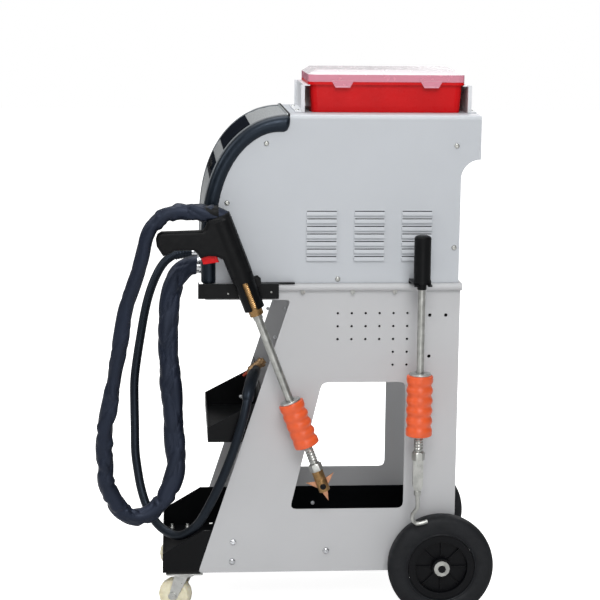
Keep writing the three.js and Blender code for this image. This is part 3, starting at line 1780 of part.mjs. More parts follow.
// Leads: routes are points by hand along the way that each lead hangs.
const gunLeadRoute = [
  [-478, -80, 661],
  [-495, -86, 640],
  [-504.7, -90, 610.6],
  [-509.5, -94, 581],
  [-512, -98, 540],
  [-512.6, -102, 500],
  [-509.5, -106, 455],
  [-504, -110, 400],
  [-501, -114, 350],
  [-499.2, -120, 300],
  [-501, -124.5, 268],
  [-510, -128, 243],
  [-523, -132, 218],
  [-543, -136, 197],
  [-568, -140, 188],
  [-597, -144, 199],
  [-614.4, -147.5, 225],
  [-627, -149.5, 257],
  [-631.5, -154, 310],
  [-630.5, -157, 352],
  [-622.4, -161, 398],
  [-614.5, -165, 444.5],
  [-603.7, -170, 506],
  [-593, -175, 566],
  [-583.5, -178, 611],
  [-575, -181, 641],
  [-563, -184.5, 671],
  [-556, -187, 696],
  [-553, -188.5, 716],
  [-547, -190, 736],
  [-535, -190, 755],
  [-517, -190, 769],
  [-489, -190, 775],
  [-462, -190, 772.5],
];
const groundLeadRoute = [
  [-482, 80, 661],
  [-500, 79, 656],
  [-516.6, 77, 645],
  [-528.4, 73, 630],
  [-543, 67, 599.5],
  [-553, 60, 569],
  [-560, 54, 538],
  [-568, 45, 492],
  [-573, 38, 461.5],
  [-578.7, 28, 416],
  [-578.8, 17.5, 370],
  [-577.8, 2.5, 325.6],
  [-577, -12.5, 281],
  [-573, -22.5, 252],
  [-566, -38, 216],
  [-553, -60, 182],
  [-531, -84, 154],
  [-495, -114, 142.5],
  [-463, -136, 166],
  [-440, -152, 206],
  [-413, -163, 266],
  [-391, -166, 325],
  [-380, -166, 361],
  [-369, -163, 400],
  [-362, -146, 432],
  [-354, -112, 450],
  [-348, -76, 452],
  [-344, -46, 447],
];

function leadAlong(start, route, end, radius) {
  const points = [start, ...route, end].map(([x, y, z]) => new THREE.Vector3(x, y, z));
  const length = new THREE.CatmullRomCurve3(points, false, "centripetal").getLength();
  return tube(points, radius, leadSides, Math.round(length / leadStep));
}

// The ground clamp, in its own frame: the body's middle is the origin and +X points to the tip.
function groundClamp() {
  const half = clampBodyLength / 2;
  const profile = [
    [0, -half - clampTailLength],
    [clampTailRadius, -half - clampTailLength],
    [clampTailRadius, -half - clampBandLength],
    [clampBandRadius, -half - clampBandLength],
    [clampBandRadius, -half],
    [clampBodyRadius, -half],
    [clampBodyRadius, half],
    [clampTipRadius * 2, half + clampTipRadius],
    [clampTipRadius, half + clampTipLength],
    [0, half + clampTipLength],
  ];
  const stem = alongY(pin(clampStemRadius, -clampBodyRadius - clampStemLength, 0, smallSides));
  return alongX(turned(profile, smallSides)).add(stem);
}

// Assembly

const cartGroup = new THREE.Group();
machine.add(cartGroup);
for (const { name, sign } of sides) {
  add(name + "_side_plate", sidePlate(sign), cartPaint, cartGroup);
  const wheelPlace = [0, sign * wheelPlaneOffset, wheelRadius];
  add(name + "_tyre", tyre(), rubber, cartGroup, wheelPlace);
  add(name + "_wheel_hub", wheelHub(), blackPlastic, cartGroup, wheelPlace);
  const caster = new THREE.Group();
  caster.position.set(-casterSetback, sign * casterTrackHalf, 0);
  cartGroup.add(caster);
  add(name + "_caster_plate", casterPlate(), brushedSteel, caster);
  const swivel = new THREE.Group();
  swivel.rotation.z = THREE.MathUtils.degToRad(sign * casterTurn);
  caster.add(swivel);
  add(name + "_caster_fork", casterFork(), brushedSteel, swivel);
  add(name + "_caster_wheel", casterWheel(), nylon, swivel);
}
add("top_deck", topDeck(), cartPaint, cartGroup);
add("base_tray", baseTray(), blackPaint, cartGroup);
add("upper_tray", upperTray(), blackPaint, cartGroup);
add("rear_axle", rearAxle(), brushedSteel, cartGroup, [0, 0, wheelRadius]);

const unit = new THREE.Group();
machine.add(unit);
add("housing_cover", housingCover(), housingPaint, unit);
add("base_pan", basePan(), cartPaint, unit);
add("rear_panel", rearPanel(), housingPaint, unit);
add("front_panel", frontPanel(), silverPanel, unit);
sides.forEach(({ name, sign }) => add(name + "_nose_trim", noseTrim(sign), trimPlastic, unit));
add("display_window", noseWindow(displayFromShare, displayToShare), darkGlass, unit);
add("keypad_window", keypadWindow(), darkGlass, unit);
const buttonNames = ["mode_button", "start_button", "power_button"];
buttonPlaces.forEach((y, i) => add(buttonNames[i] ?? "button_" + (i + 1), pushButton(y), blackPlastic, unit));
add("power_switch", rocker(), blackPlastic, unit, [lowerRear, -switchOffset, switchZ]);
add("mains_gland", mainsGland(), blackPlastic, unit, [lowerRear, glandOffset, glandZ]);
add("fan_frame", fanFrame(), fanPlastic, unit);
add("fan_rotor", fanRotor(), fanPlastic, unit);
const coreFront = -coreSetback - coreLength;
add("transformer_core", coreFrame(), coreSteel, unit);
add("primary_winding", winding(coreFront), enamelCopper, unit);
add("secondary_winding", winding(coreFront + coreLength - coreLimb), enamelCopper, unit);
add("power_board", powerBoard(), boardGreen, unit);
add("gun_terminal", outputTerminal(-1, gunTerminalNoseRadius), chrome, unit);
add("ground_terminal", outputTerminal(1, groundTerminalNoseRadius), chrome, unit);

const boxGroup = new THREE.Group();
boxGroup.position.set(-boxCentre, 0, boxBase);
machine.add(boxGroup);
add("box_front_bracket", boxBracket(-1), housingPaint, boxGroup);
add("box_rear_bracket", boxBracket(1), housingPaint, boxGroup);
add("parts_box", partsBox(), redPlastic, boxGroup);
add("parts_box_lid", boxLid(), clearPlastic, boxGroup);
add("front_latch", lidLatch(-latchSpacing / 2), clearPlastic, boxGroup);
add("rear_latch", lidLatch(latchSpacing / 2), clearPlastic, boxGroup);

const gun = new THREE.Group();
gun.position.set(noseEndX, -gunOffset, noseEndZ);
gun.rotation.y = THREE.MathUtils.degToRad(-gunTilt);
machine.add(gun);
gun.updateMatrix();
add("gun_bracket", gunBracket(gun.matrix), blackPaint);
add("gun_left_shell", gunShell(-1), blackPlastic, gun);
add("gun_right_shell", gunShell(1), blackPlastic, gun);
add("gun_trigger", gunTrigger(), redPlastic, gun);
add("gun_nose", gunNose(), brass, gun);
add("gun_slide_rod", gunSlideRod(), brushedSteel, gun);
const gunWeight = slideWeight(
  gunRodRadius + slideGap,
  gunWeightRadius,
  gunWeightWaves,
  -gunWeightTop,
  gunWeightLength,
);
add("gun_slide_weight", gunWeight, orangePlastic, gun);
const holderTop = -gunRodLength + holderNutLength - cartSheet - seatGap;
add("electrode_holder", electrodeHolder(holderTop), brass, gun);
add("star_bit", starBit(), copper, gun, [0, 0, holderTop - holderNutLength - starSetback]);

const tool = new THREE.Group();
tool.position.set(toolX, -toolOffset, hangerTop + seatGap);
machine.add(tool);
add("tool_hanger", toolHanger(), blackPaint);
add("tool_handle", toolHandle(), blackPlastic, tool);
add("tool_slide_rod", toolRod(), brushedSteel, tool);
const toolWeight = slideWeight(
  toolRodRadius + slideGap,
  toolWeightRadius,
  toolWeightWaves,
  toolWeightTop,
  toolWeightLength,
);
add("tool_slide_weight", toolWeight, orangePlastic, tool);
add("pull_hook", pullHook(), brushedSteel, tool);

const clamp = new THREE.Group();
clamp.position.set(clampX, 0, clampZ);
clamp.rotation.y = THREE.MathUtils.degToRad(180 - clampTilt);
machine.add(clamp);
add("ground_clamp", groundClamp(), brass, clamp);
const terminalPlace = (sign) => [terminalEnd - seatGap, sign * terminalOffset, terminalZ];
const sleeveEnd = sleeveSpigotPlace.clone().applyMatrix4(gun.matrix);
const sleevePlace = [sleeveEnd.x - sleeveSpigotLength - seatGap, sleeveEnd.y, sleeveEnd.z];
const stemPlace = [clampX, -clampBodyRadius - clampStemLength - seatGap, clampZ];
add("gun_lead", leadAlong(terminalPlace(-1), gunLeadRoute, sleevePlace, gunLeadRadius), navyFabric);
add("ground_lead", leadAlong(terminalPlace(1), groundLeadRoute, stemPlace, groundLeadRadius), rubber);

// The origin is on the floor, under the middle of all that is not a lead.
const loose = ["gun_lead", "ground_lead", "ground_clamp"];
machine.updateMatrixWorld(true);
const bounds = new THREE.Box3();
machine.traverse((piece) => {
  if (piece.isMesh && !loose.includes(piece.name)) bounds.expandByObject(piece, true);
});
const middle = bounds.getCenter(new THREE.Vector3());
machine.position.set(-middle.x, -middle.y, -bounds.min.z);

const group = new THREE.Group();
group.add(machine);
export default group;
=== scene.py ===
"""Looks of a dent pulling spot welder on its cart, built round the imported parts.

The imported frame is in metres, +Z up. Sizes here are millimetres in the machine's own layout: x from the
rear axle (the controls face -x), y from the middle plane (the tools hang at -y), z from the floor.
"""

import math

import bmesh
import bpy
import numpy as np
from mathutils import Matrix, Vector


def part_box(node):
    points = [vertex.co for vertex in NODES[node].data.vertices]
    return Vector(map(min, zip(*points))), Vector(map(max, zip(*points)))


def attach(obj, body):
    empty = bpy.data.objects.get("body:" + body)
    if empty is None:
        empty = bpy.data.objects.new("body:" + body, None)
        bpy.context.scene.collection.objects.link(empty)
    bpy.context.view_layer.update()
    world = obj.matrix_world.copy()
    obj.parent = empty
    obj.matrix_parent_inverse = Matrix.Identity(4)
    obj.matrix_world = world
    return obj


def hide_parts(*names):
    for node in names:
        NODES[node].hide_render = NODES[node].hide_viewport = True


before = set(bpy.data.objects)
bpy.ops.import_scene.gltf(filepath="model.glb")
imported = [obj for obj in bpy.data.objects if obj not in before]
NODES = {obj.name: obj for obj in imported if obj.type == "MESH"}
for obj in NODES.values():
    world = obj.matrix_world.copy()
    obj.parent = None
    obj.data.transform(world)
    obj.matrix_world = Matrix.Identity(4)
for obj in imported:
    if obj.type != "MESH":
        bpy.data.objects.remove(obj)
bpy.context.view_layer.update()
MM = 0.001
AXLE_LOW, AXLE_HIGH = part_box("rear_axle")
ORIGIN = Vector(((AXLE_LOW.x + AXLE_HIGH.x) / 2, (AXLE_LOW.y + AXLE_HIGH.y) / 2, 0.0))
SIDES = (("left", -1), ("right", 1))


def at(x, y, z):
    return ORIGIN + Vector((x, y, z)) * MM


def frame_at(x, y, z, turn=0.0):
    """A frame in millimetres at a place of the machine, turned by degrees about Y."""
    turned = Matrix.Rotation(math.radians(turn), 4, "Y")
    return Matrix.Translation(at(x, y, z)) @ turned @ Matrix.Scale(MM, 4)


def towards(place, direction):
    """A frame in millimetres whose Z points in a direction."""
    quaternion = Vector((0, 0, 1)).rotation_difference(Vector(direction).normalized())
    return Matrix.Translation(at(*place)) @ quaternion.to_matrix().to_4x4() @ Matrix.Scale(MM, 4)


MACHINE_FRAME = frame_at(0, 0, 0)
GUN_FRAME = frame_at(-350, -190, 585, -21)
TOOL_FRAME = frame_at(-51, -212, 646.3)
FORWARD, UP, DOWN = (-1, 0, 0), (0, 0, 1), (0, 0, -1)

# Camera

CAMERA_AZIMUTH = -4.16541
CAMERA_ELEVATION = 10.08122
CAMERA_ROLL = 0.55325
CAMERA_DISTANCE = 3368.585
CAMERA_TARGET = (-257.73, 0.0, 578.632)
CAMERA_LENS = 104.364
CAMERA_SENSOR = 36.0


def make_camera():
    azimuth, elevation, roll = (math.radians(v) for v in (CAMERA_AZIMUTH, CAMERA_ELEVATION, CAMERA_ROLL))
    flat = math.cos(elevation)
    back = Vector((math.sin(azimuth) * flat, -math.cos(azimuth) * flat, math.sin(elevation)))
    right = (-back).cross(Vector((0, 0, 1))).normalized()
    up = right.cross(-back)
    side = math.cos(roll) * right + math.sin(roll) * up
    head = math.cos(roll) * up - math.sin(roll) * right
    place = Matrix((side, head, back)).transposed().to_4x4()
    place.translation = at(*CAMERA_TARGET) + back * (CAMERA_DISTANCE * MM)
    data = bpy.data.cameras.new("camera")
    data.sensor_width = CAMERA_SENSOR
    data.lens = CAMERA_LENS
    camera = bpy.data.objects.new("camera", data)
    camera.matrix_world = place
    bpy.context.collection.objects.link(camera)
    bpy.context.scene.camera = camera


make_camera()

# Materials


def linear(color):
    def channel(value):
        share = value / 255
        return share / 12.92 if share <= 0.04045 else ((share + 0.055) / 1.055) ** 2.4

    return (*(channel(v) for v in color), 1.0)


def node_of(tree, kind, inputs=None, **values):
    """A node with its properties set, and its inputs set or linked."""
    node = tree.nodes.new(kind)
    for name, value in values.items():
        setattr(node, name, value)
    for name, value in (inputs or {}).items():
        if isinstance(value, bpy.types.NodeSocket):
            tree.links.new(value, node.inputs[name])
        else:
            node.inputs[name].default_value = value
    return node


def coordinates(tree, space="Object"):
    return node_of(tree, "ShaderNodeTexCoord").outputs[space]


def mapped(tree, space, scale):
    inputs = {"Vector": coordinates(tree, space), "Scale": scale}
    return node_of(tree, "ShaderNodeMapping", inputs).outputs["Vector"]


def noise(tree, size, detail=3.0, stretch=(1, 1, 1)):
    """Noise whose cells are about size millimetres, longer along an axis with a small stretch."""
    place = mapped(tree, "Object", [s / (size * MM) for s in stretch])
    inputs = {"Vector": place, "Scale": 1.0, "Detail": detail}
    return node_of(tree, "ShaderNodeTexNoise", inputs).outputs["Fac"]


def bands(tree, size, axis, space="Object"):
    """Straight bands, one each size millimetres, across an axis."""
    inputs = {"Vector": mapped(tree, space, [1 / (size * MM)] * 3), "Scale": math.pi / 10}
    return node_of(tree, "ShaderNodeTexWave", inputs, bands_direction=axis).outputs["Fac"]


def part_of(tree, space, axis):
    """One coordinate of a texture space."""
    return node_of(tree, "ShaderNodeSeparateXYZ", {"Vector": coordinates(tree, space)}).outputs[axis]


def spread(tree, value, low, high, start=0.3, end=0.7):
    inputs = {"Value": value, "From Min": start, "From Max": end, "To Min": low, "To Max": high}
    return node_of(tree, "ShaderNodeMapRange", inputs).outputs["Result"]


def math_of(tree, operation, first, second):
    return node_of(tree, "ShaderNodeMath", {0: first, 1: second}, operation=operation).outputs["Value"]


def patches(tree, size, detail=3.0, start=0.3, end=0.7):
    """A slow change between 0 and 1, in patches of about size millimetres."""
    return spread(tree, noise(tree, size, detail), 0, 1, start, end)


# Where the mix node keeps its two colours and their mixture
MIX_FIRST, MIX_SECOND, MIX_RESULT = 6, 7, 2


def two_tones(tree, shader, factor, first, second):
    inputs = {"Factor": factor, MIX_FIRST: linear(first), MIX_SECOND: linear(second)}
    mix = node_of(tree, "ShaderNodeMix", inputs, data_type="RGBA")
    tree.links.new(mix.outputs[MIX_RESULT], shader.inputs["Base Color"])


def uneven_gloss(tree, shader, size, detail, low, high):
    tree.links.new(spread(tree, noise(tree, size, detail), low, high), shader.inputs["Roughness"])


def raise_surface(tree, shader, height, depth, strength=1.0):
    """A bump of depth millimetres."""
    inputs = {"Height": height, "Distance": depth * MM, "Strength": strength}
    tree.links.new(node_of(tree, "ShaderNodeBump", inputs).outputs["Normal"], shader.inputs["Normal"])


def start_material(name, color, roughness, metallic=0.0, shine=0.5):
    material = bpy.data.materials.new(name)
    material.use_nodes = True
    tree = material.node_tree
    shader = tree.nodes["Principled BSDF"]
    shader.inputs["Base Color"].default_value = linear(color)
    shader.inputs["Roughness"].default_value = roughness
    shader.inputs["Metallic"].default_value = metallic
    shader.inputs["Specular IOR Level"].default_value = shine
    return material, tree, shader


def shade_of(color, share):
    return tuple(min(255, v * share) for v in color)


def painted(name, color, roughness=0.42, peel=0.05, worn=0.985, shine=0.5):
    """Powder coat on sheet: an orange-peel bump, and a slow change of tone and gloss."""
    material, tree, shader = start_material(name, color, roughness, shine=shine)
    two_tones(tree, shader, patches(tree, 140), color, shade_of(color, worn))
    uneven_gloss(tree, shader, 22, 4, roughness - 0.05, roughness + 0.07)
    raise_surface(tree, shader, noise(tree, 1.3, 1), peel, 0.5)
    return material


def moulded(name, color, roughness=0.5, grain=0.03, grain_size=0.45, shine=0.5, reflection_tint=(255, 255, 255)):
    """Moulded plastic or rubber: a fine grain, with scuffs in the gloss; the reflection tint colours what it
    mirrors, a painted reflection when it is not white.
    """
    material, tree, shader = start_material(name, color, roughness, shine=shine)
    shader.inputs["Specular Tint"].default_value = linear(reflection_tint)
    two_tones(tree, shader, patches(tree, 45, 4), color, shade_of(color, 1.12))
    uneven_gloss(tree, shader, 9, 5, roughness - 0.08, roughness + 0.08)
    raise_surface(tree, shader, noise(tree, grain_size, 2), grain, 0.6)
    return material


def metal(name, color, roughness=0.25, stretch=(1, 1, 0.06), mark=2.5, scratch=0.012, tint=0.82):
    """Bare or plated metal: marks drawn out along the way it was turned or brushed."""
    material, tree, shader = start_material(name, color, roughness, 1.0)
    drawn = noise(tree, mark, 4, stretch)
    two_tones(tree, shader, patches(tree, 12, 5, 0.35, 0.75), color, shade_of(color, tint))
    gloss = spread(tree, drawn, max(0.03, roughness - 0.1), roughness + 0.14)
    tree.links.new(gloss, shader.inputs["Roughness"])
    raise_surface(tree, shader, drawn, scratch, 0.5)
    return material


def brushed_panel(name, color):
    """A thin brushed metal skin, with the grain across the machine."""
    material, tree, shader = start_material(name, color, 0.34, 0.75)
    grain = noise(tree, 1.1, 3, (1, 0.03, 1))
    two_tones(tree, shader, spread(tree, grain, 0, 1), color, shade_of(color, 0.93))
    tree.links.new(spread(tree, grain, 0.28, 0.44), shader.inputs["Roughness"])
    raise_surface(tree, shader, grain, 0.01, 0.5)
    return material


def dark_window(name, color):
    """Smoked film that mirrors almost nothing."""
    material, tree, shader = start_material(name, color, 0.1, shine=0.02)
    shader.inputs["IOR"].default_value = 1.04
    two_tones(tree, shader, patches(tree, 60), color, shade_of(color, 1.3))
    uneven_gloss(tree, shader, 14, 5, 0.12, 0.26)
    return material


def clear_plastic(name, color):
    """The lid's thin clear moulding: pink at the sides from the box behind it, with painted light: white
    painted where it faces up, a painted reflection of the light above.
    """
    material, tree, shader = start_material(name, color, 0.2)
    shader.inputs["Transmission Weight"].default_value = 0.22
    shader.inputs["IOR"].default_value = 1.2
    mottle = math_of(tree, "MULTIPLY", noise(tree, 30), 0.1)
    # Painted light: the colour turns white where the normal faces up, a painted reflection on the lid's top.
    facing = math_of(tree, "ADD", part_of(tree, "Normal", "Z"), mottle)
    two_tones(tree, shader, spread(tree, facing, 0, 1, 0.2, 0.9), color, LID_TOP_PAINTED_LIGHT)
    uneven_gloss(tree, shader, 12, 3, 0.18, 0.3)
    return material


def red_moulding(name, color):
    material, tree, shader = start_material(name, color, 0.3, shine=0.12)
    two_tones(tree, shader, patches(tree, 70, 2), color, shade_of(color, 1.06))
    uneven_gloss(tree, shader, 8, 4, 0.24, 0.38)
    raise_surface(tree, shader, noise(tree, 30, 1), 0.1, 0.3)
    return material


def soft_orange(name, color):
    """The weights' grippy jacket: soft, a little waxy, with hand marks."""
    material, tree, shader = start_material(name, color, 0.4, shine=0.6)
    two_tones(tree, shader, patches(tree, 18, 4, 0.35, 0.75), color, shade_of(color, 0.93))
    uneven_gloss(tree, shader, 9, 4, 0.3, 0.44)
    raise_surface(tree, shader, noise(tree, 2.4, 1), 0.03, 0.3)
    return material


def clamp_bronze(name, color, tip_color, tip_end):
    """Cast bronze whose tip, up to a place along X in metres, is bare copper."""
    material, tree, shader = start_material(name, color, 0.34, 0.9)
    past_tip = spread(tree, part_of(tree, "Object", "X"), 0, 1, tip_end, tip_end + 2 * MM)
    two_tones(tree, shader, past_tip, tip_color, color)
    uneven_gloss(tree, shader, 5, 4, 0.26, 0.46)
    raise_surface(tree, shader, noise(tree, 2, 3), 0.05, 0.5)
    return material


def tyre_rubber(name, color):
    """Tyre rubber with a bloom of dust that gathers in patches."""
    material, tree, shader = start_material(name, color, 0.6, shine=0.3)
    dust = math_of(tree, "MULTIPLY", patches(tree, 35, 6, 0.4, 0.8), 0.5)
    two_tones(tree, shader, dust, color, (24, 26, 31))
    uneven_gloss(tree, shader, 12, 5, 0.48, 0.68)
    raise_surface(tree, shader, noise(tree, 0.8, 3), 0.05, 0.6)
    return material


def waxy_nylon(name, color):
    material, tree, shader = start_material(name, color, 0.38)
    shader.inputs["Subsurface Weight"].default_value = 0.35
    shader.inputs["Subsurface Radius"].default_value = (0.006, 0.005, 0.003)
    two_tones(tree, shader, patches(tree, 16, 4, 0.4, 0.8), color, (196, 186, 152))
    uneven_gloss(tree, shader, 5, 5, 0.3, 0.5)
    raise_surface(tree, shader, noise(tree, 1.0, 2), 0.02, 0.5)
    return material


def woven(name, color, thread=1.1):
    """The sleeve's woven nylon: crossing threads from the piece's UV map, creased and a little faded."""
    material, tree, shader = start_material(name, color, 0.6, shine=0.42)
    # Painted reflection: a blue tint on the cloth's reflections and highlights.
    shader.inputs["Specular Tint"].default_value = linear((208, 222, 255))
    shader.inputs["Sheen Weight"].default_value = 0.12
    shader.inputs["Sheen Roughness"].default_value = 0.35
    weave = math_of(tree, "MAXIMUM", bands(tree, thread, "X", "UV"), bands(tree, thread, "Y", "UV"))
    two_tones(tree, shader, patches(tree, 48, 3, 0.4, 0.8), color, shade_of(color, 1.3))
    uneven_gloss(tree, shader, 30, 3, 0.38, 0.54)
    raise_surface(tree, shader, weave, 0.08, 0.4)
    return material


def wound_wire(name, color):
    material, tree, shader = start_material(name, color, 0.3, 0.6)
    wire = bands(tree, 1.8, "Z")
    # Painted shade: darker between the turns of wire, in the grooves.
    two_tones(tree, shader, spread(tree, wire, 0, 1, 0.1, 0.7), shade_of(color, 0.45), color)
    raise_surface(tree, shader, wire, 0.7)
    return material


def laminated(name, color):
    material, tree, shader = start_material(name, color, 0.5, 0.85)
    two_tones(tree, shader, patches(tree, 14, 5), color, (86, 70, 58))
    raise_surface(tree, shader, bands(tree, 0.8, "Y"), 0.12)
    return material


def circuit_board(name, color):
    """Green solder mask with the pattern of copper lands showing through."""
    material, tree, shader = start_material(name, color, 0.35)
    inputs = {"Vector": coordinates(tree), "Scale": 1 / (7 * MM)}
    cells = node_of(tree, "ShaderNodeTexVoronoi", inputs, feature="F1", distance="CHEBYCHEV")
    lands = spread(tree, cells.outputs["Distance"], 1, 0, 0.36, 0.42)
    two_tones(tree, shader, lands, color, (70, 128, 84))
    raise_surface(tree, shader, lands, 0.05)
    return material


HOUSING_GREY = (184, 188, 193)
# Painted reflection: a blue tint on the reflections of the dark plastics and rubber, standing for a blue sky.
COOL_PAINTED_REFLECTION = (208, 228, 255)
# The lid's painted highlight: the white painted on its upward faces.
LID_TOP_PAINTED_LIGHT = (238, 234, 237)
CART_GREY = (184, 185, 187)
LOOKS = {
    "housing": painted("housing_paint", HOUSING_GREY),
    "cart": painted("cart_paint", CART_GREY, 0.46),
    "black_paint": painted("black_paint", (7, 8, 10), 0.36, 0.06, 1.15, 0.13),
    "bracket_white": painted("bracket_paint", (216, 218, 221), 0.4),
    "black": moulded("black_plastic", (7, 8, 10), 0.44, shine=0.14),
    "trim": moulded("trim_plastic", (5, 11, 17), 0.38, 0.02, 14.0, 0.4, COOL_PAINTED_REFLECTION),
    "fan": moulded("fan_plastic", (24, 25, 27), 0.5, shine=0.3),
    "panel": brushed_panel("silver_panel", (206, 210, 212)),
    # Painted shade: the panel's side skirts take a dark grey in place of the panel's silver.
    "skirt": painted("skirt_painted_shade", (112, 117, 121), 0.4),
    "window": dark_window("dark_window", (9, 13, 20)),
    "red": red_moulding("red_plastic", (192, 18, 22)),
    "clear": clear_plastic("clear_plastic", (222, 150, 168)),
    "orange": soft_orange("orange_plastic", (226, 88, 34)),
    "steel": metal("steel", (184, 185, 181), 0.36),
    "chrome": metal("chrome", (214, 216, 219), 0.14),
    "zinc": metal("zinc", (204, 205, 202), 0.36, (1, 1, 1), 3.0, 0.01, 0.88),
    "brass": metal("brass", (160, 126, 84), 0.32),
    "bronze": clamp_bronze("bronze", (150, 122, 90), (168, 74, 58), ORIGIN.x - 361 * MM),
    "copper": metal("copper", (204, 150, 118), 0.34, (1, 1, 1), 2.0),
    "wire": wound_wire("winding", (178, 92, 44)),
    "core": laminated("core_steel", (112, 114, 118)),
    "board": circuit_board("board", (26, 84, 50)),
    "tyre": tyre_rubber("tyre", (7, 10, 15)),
    "hub": moulded("hub_plastic", (7, 8, 11), 0.42, shine=0.14),
    "nylon": waxy_nylon("nylon", (232, 226, 200)),
    "sleeve": woven("sleeve", (13, 18, 29)),
    "lead": moulded("lead_rubber", (6, 9, 13), 0.46, 0.02, 8.0, 0.36, COOL_PAINTED_REFLECTION),
    "grip": moulded("grip_rubber", (8, 12, 17), 0.42, 0.02, 8.0, 0.36, COOL_PAINTED_REFLECTION),
}

# Mesh helpers

SMOOTH_ANGLE = 38.0


def make_smoothing():
    """A geometry group that shades smooth, with edges over SMOOTH_ANGLE kept sharp."""
    group = bpy.data.node_groups.new("smooth_by_angle", "GeometryNodeTree")
    for way in ("INPUT", "OUTPUT"):
        group.interface.new_socket("Geometry", in_out=way, socket_type="NodeSocketGeometry")
    angle = node_of(group, "GeometryNodeInputMeshEdgeAngle").outputs["Unsigned Angle"]
    inputs = {"A": angle, "B": math.radians(SMOOTH_ANGLE)}
    sharp = node_of(group, "FunctionNodeCompare", inputs, data_type="FLOAT", operation="GREATER_THAN")
    inputs = {
        "Mesh": node_of(group, "NodeGroupInput").outputs["Geometry"],
        "Remove Custom": True,
        "Edge Sharpness": sharp.outputs["Result"],
        "Face Sharpness": False,
    }
    normals = node_of(group, "GeometryNodeSetMeshNormal", inputs, mode="SHARPNESS")
    node_of(group, "NodeGroupOutput", {"Geometry": normals.outputs["Mesh"]})
    return group


SMOOTHING = make_smoothing()


def smooth(piece, weighted=False):
    piece.modifiers.new("smooth", "NODES").node_group = SMOOTHING
    if weighted:
        piece.modifiers.new("weighted", "WEIGHTED_NORMAL").keep_sharp = True


def make_piece(name, corners, faces, look, body="machine", uvs=None):
    """A mesh piece from corners in metres; its faces are turned to face out."""
    mesh = bpy.data.meshes.new(name)
    mesh.from_pydata([tuple(c) for c in corners], [], [list(f) for f in faces])
    if uvs is not None:
        layer = mesh.uv_layers.new(name="UVMap")
        order = np.zeros(len(mesh.loops), dtype=np.int32)
        mesh.loops.foreach_get("vertex_index", order)
        layer.data.foreach_set("uv", np.asarray(uvs, dtype=np.float32)[order].ravel())
    shell = bmesh.new()
    shell.from_mesh(mesh)
    bmesh.ops.recalc_face_normals(shell, faces=shell.faces)
    shell.to_mesh(mesh)
    shell.free()
    mesh.materials.append(LOOKS[look])
    piece = bpy.data.objects.new(name, mesh)
    bpy.context.collection.objects.link(piece)
    smooth(piece)
    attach(piece, body)
    return piece


def side_faces(rows, count):
    """Faces between rings of count corners that follow each other."""
    faces = []
    for i in range(rows - 1):
        for j in range(count):
            k = (j + 1) % count
            faces.append((i * count + j, i * count + k, (i + 1) * count + k, (i + 1) * count + j))
    return faces


def capped_faces(rows, count):
    last = (rows - 1) * count
    return [tuple(range(count)), tuple(range(last, last + count))] + side_faces(rows, count)


def turned_mesh(profile, sides=64, closed=False):
    """Corners and faces of a form turned about Z. The profile's pairs are (radius, height)."""
    profile = [(max(r, 0.0), h) for r, h in profile]
    corners = []
    rings = []
    for radius, height in profile:
        if radius < 1e-6:
            rings.append([len(corners)])
            corners.append((0.0, 0.0, height))
            continue
        rings.append(list(range(len(corners), len(corners) + sides)))
        for i in range(sides):
            angle = 2 * math.pi * i / sides
            corners.append((radius * math.cos(angle), radius * math.sin(angle), height))
    faces = []
    pairs = list(zip(rings, rings[1:]))
    if closed:
        pairs.append((rings[-1], rings[0]))
    for lower, upper in pairs:
        for i in range(sides):
            j = (i + 1) % sides
            around = ((lower, i), (lower, j), (upper, j), (upper, i))
            face = list(dict.fromkeys(ring[k % len(ring)] for ring, k in around))
            if len(face) > 2:
                faces.append(face)
    return corners, faces


def turned_piece(name, profile, place, look, body="machine", sides=64, closed=False, shape=None):
    corners, faces = turned_mesh(profile, sides, closed)
    if shape:
        corners = [shape(*corner) for corner in corners]
    return make_piece(name, [place @ Vector(c) for c in corners], faces, look, body)


def rounded(profile, radius, steps=3, closed=False):
    """The profile with each corner rounded by a quadratic arc."""
    count = len(profile)
    points = [Vector(p) for p in profile]
    result = []
    for i, corner in enumerate(points):
        if not closed and i in (0, count - 1):
            result.append(tuple(corner))
            continue
        before, after = points[i - 1], points[(i + 1) % count]
        into = before - corner
        out = after - corner
        reach = min(radius, into.length * 0.45, out.length * 0.45)
        start = corner + into.normalized() * reach
        end = corner + out.normalized() * reach
        for step in range(steps + 1):
            t = step / steps
            result.append(tuple(start * (1 - t) ** 2 + corner * (2 * t * (1 - t)) + end * t ** 2))
    return result


def gather(name, forms, look, body="machine"):
    """One piece from several forms, each with its corners, faces and place."""
    corners = []
    faces = []
    for points, polygons, place in forms:
        first = len(corners)
        corners += [place @ Vector(p) for p in points]
        faces += [[first + i for i in polygon] for polygon in polygons]
    return make_piece(name, corners, faces, look, body)


def copies(form, places):
    """The same form at several places, for gather."""
    return [(*form, place) for place in places]


def slab_piece(name, outline, low, high, look, ease=0.5):
    """A sheet or block: an outline of x and z between two values of y, its edges eased."""
    corners = [at(x, y, z) for y in (low, high) for x, z in outline]
    piece = make_piece(name, corners, capped_faces(2, len(outline)), look)
    bevel = piece.modifiers.new("ease", "BEVEL")
    bevel.width = ease * MM
    bevel.segments = 2


def to_polygon(x, y, z, sides, radius):
    """The point drawn in to a regular polygon if it is on or outside the radius."""
    reach = math.hypot(x, y)
    if reach < radius:
        return x, y, z
    half = math.pi / sides
    share = math.cos(half) / math.cos(math.atan2(y, x) % (2 * half) - half)
    return x * share, y * share, z


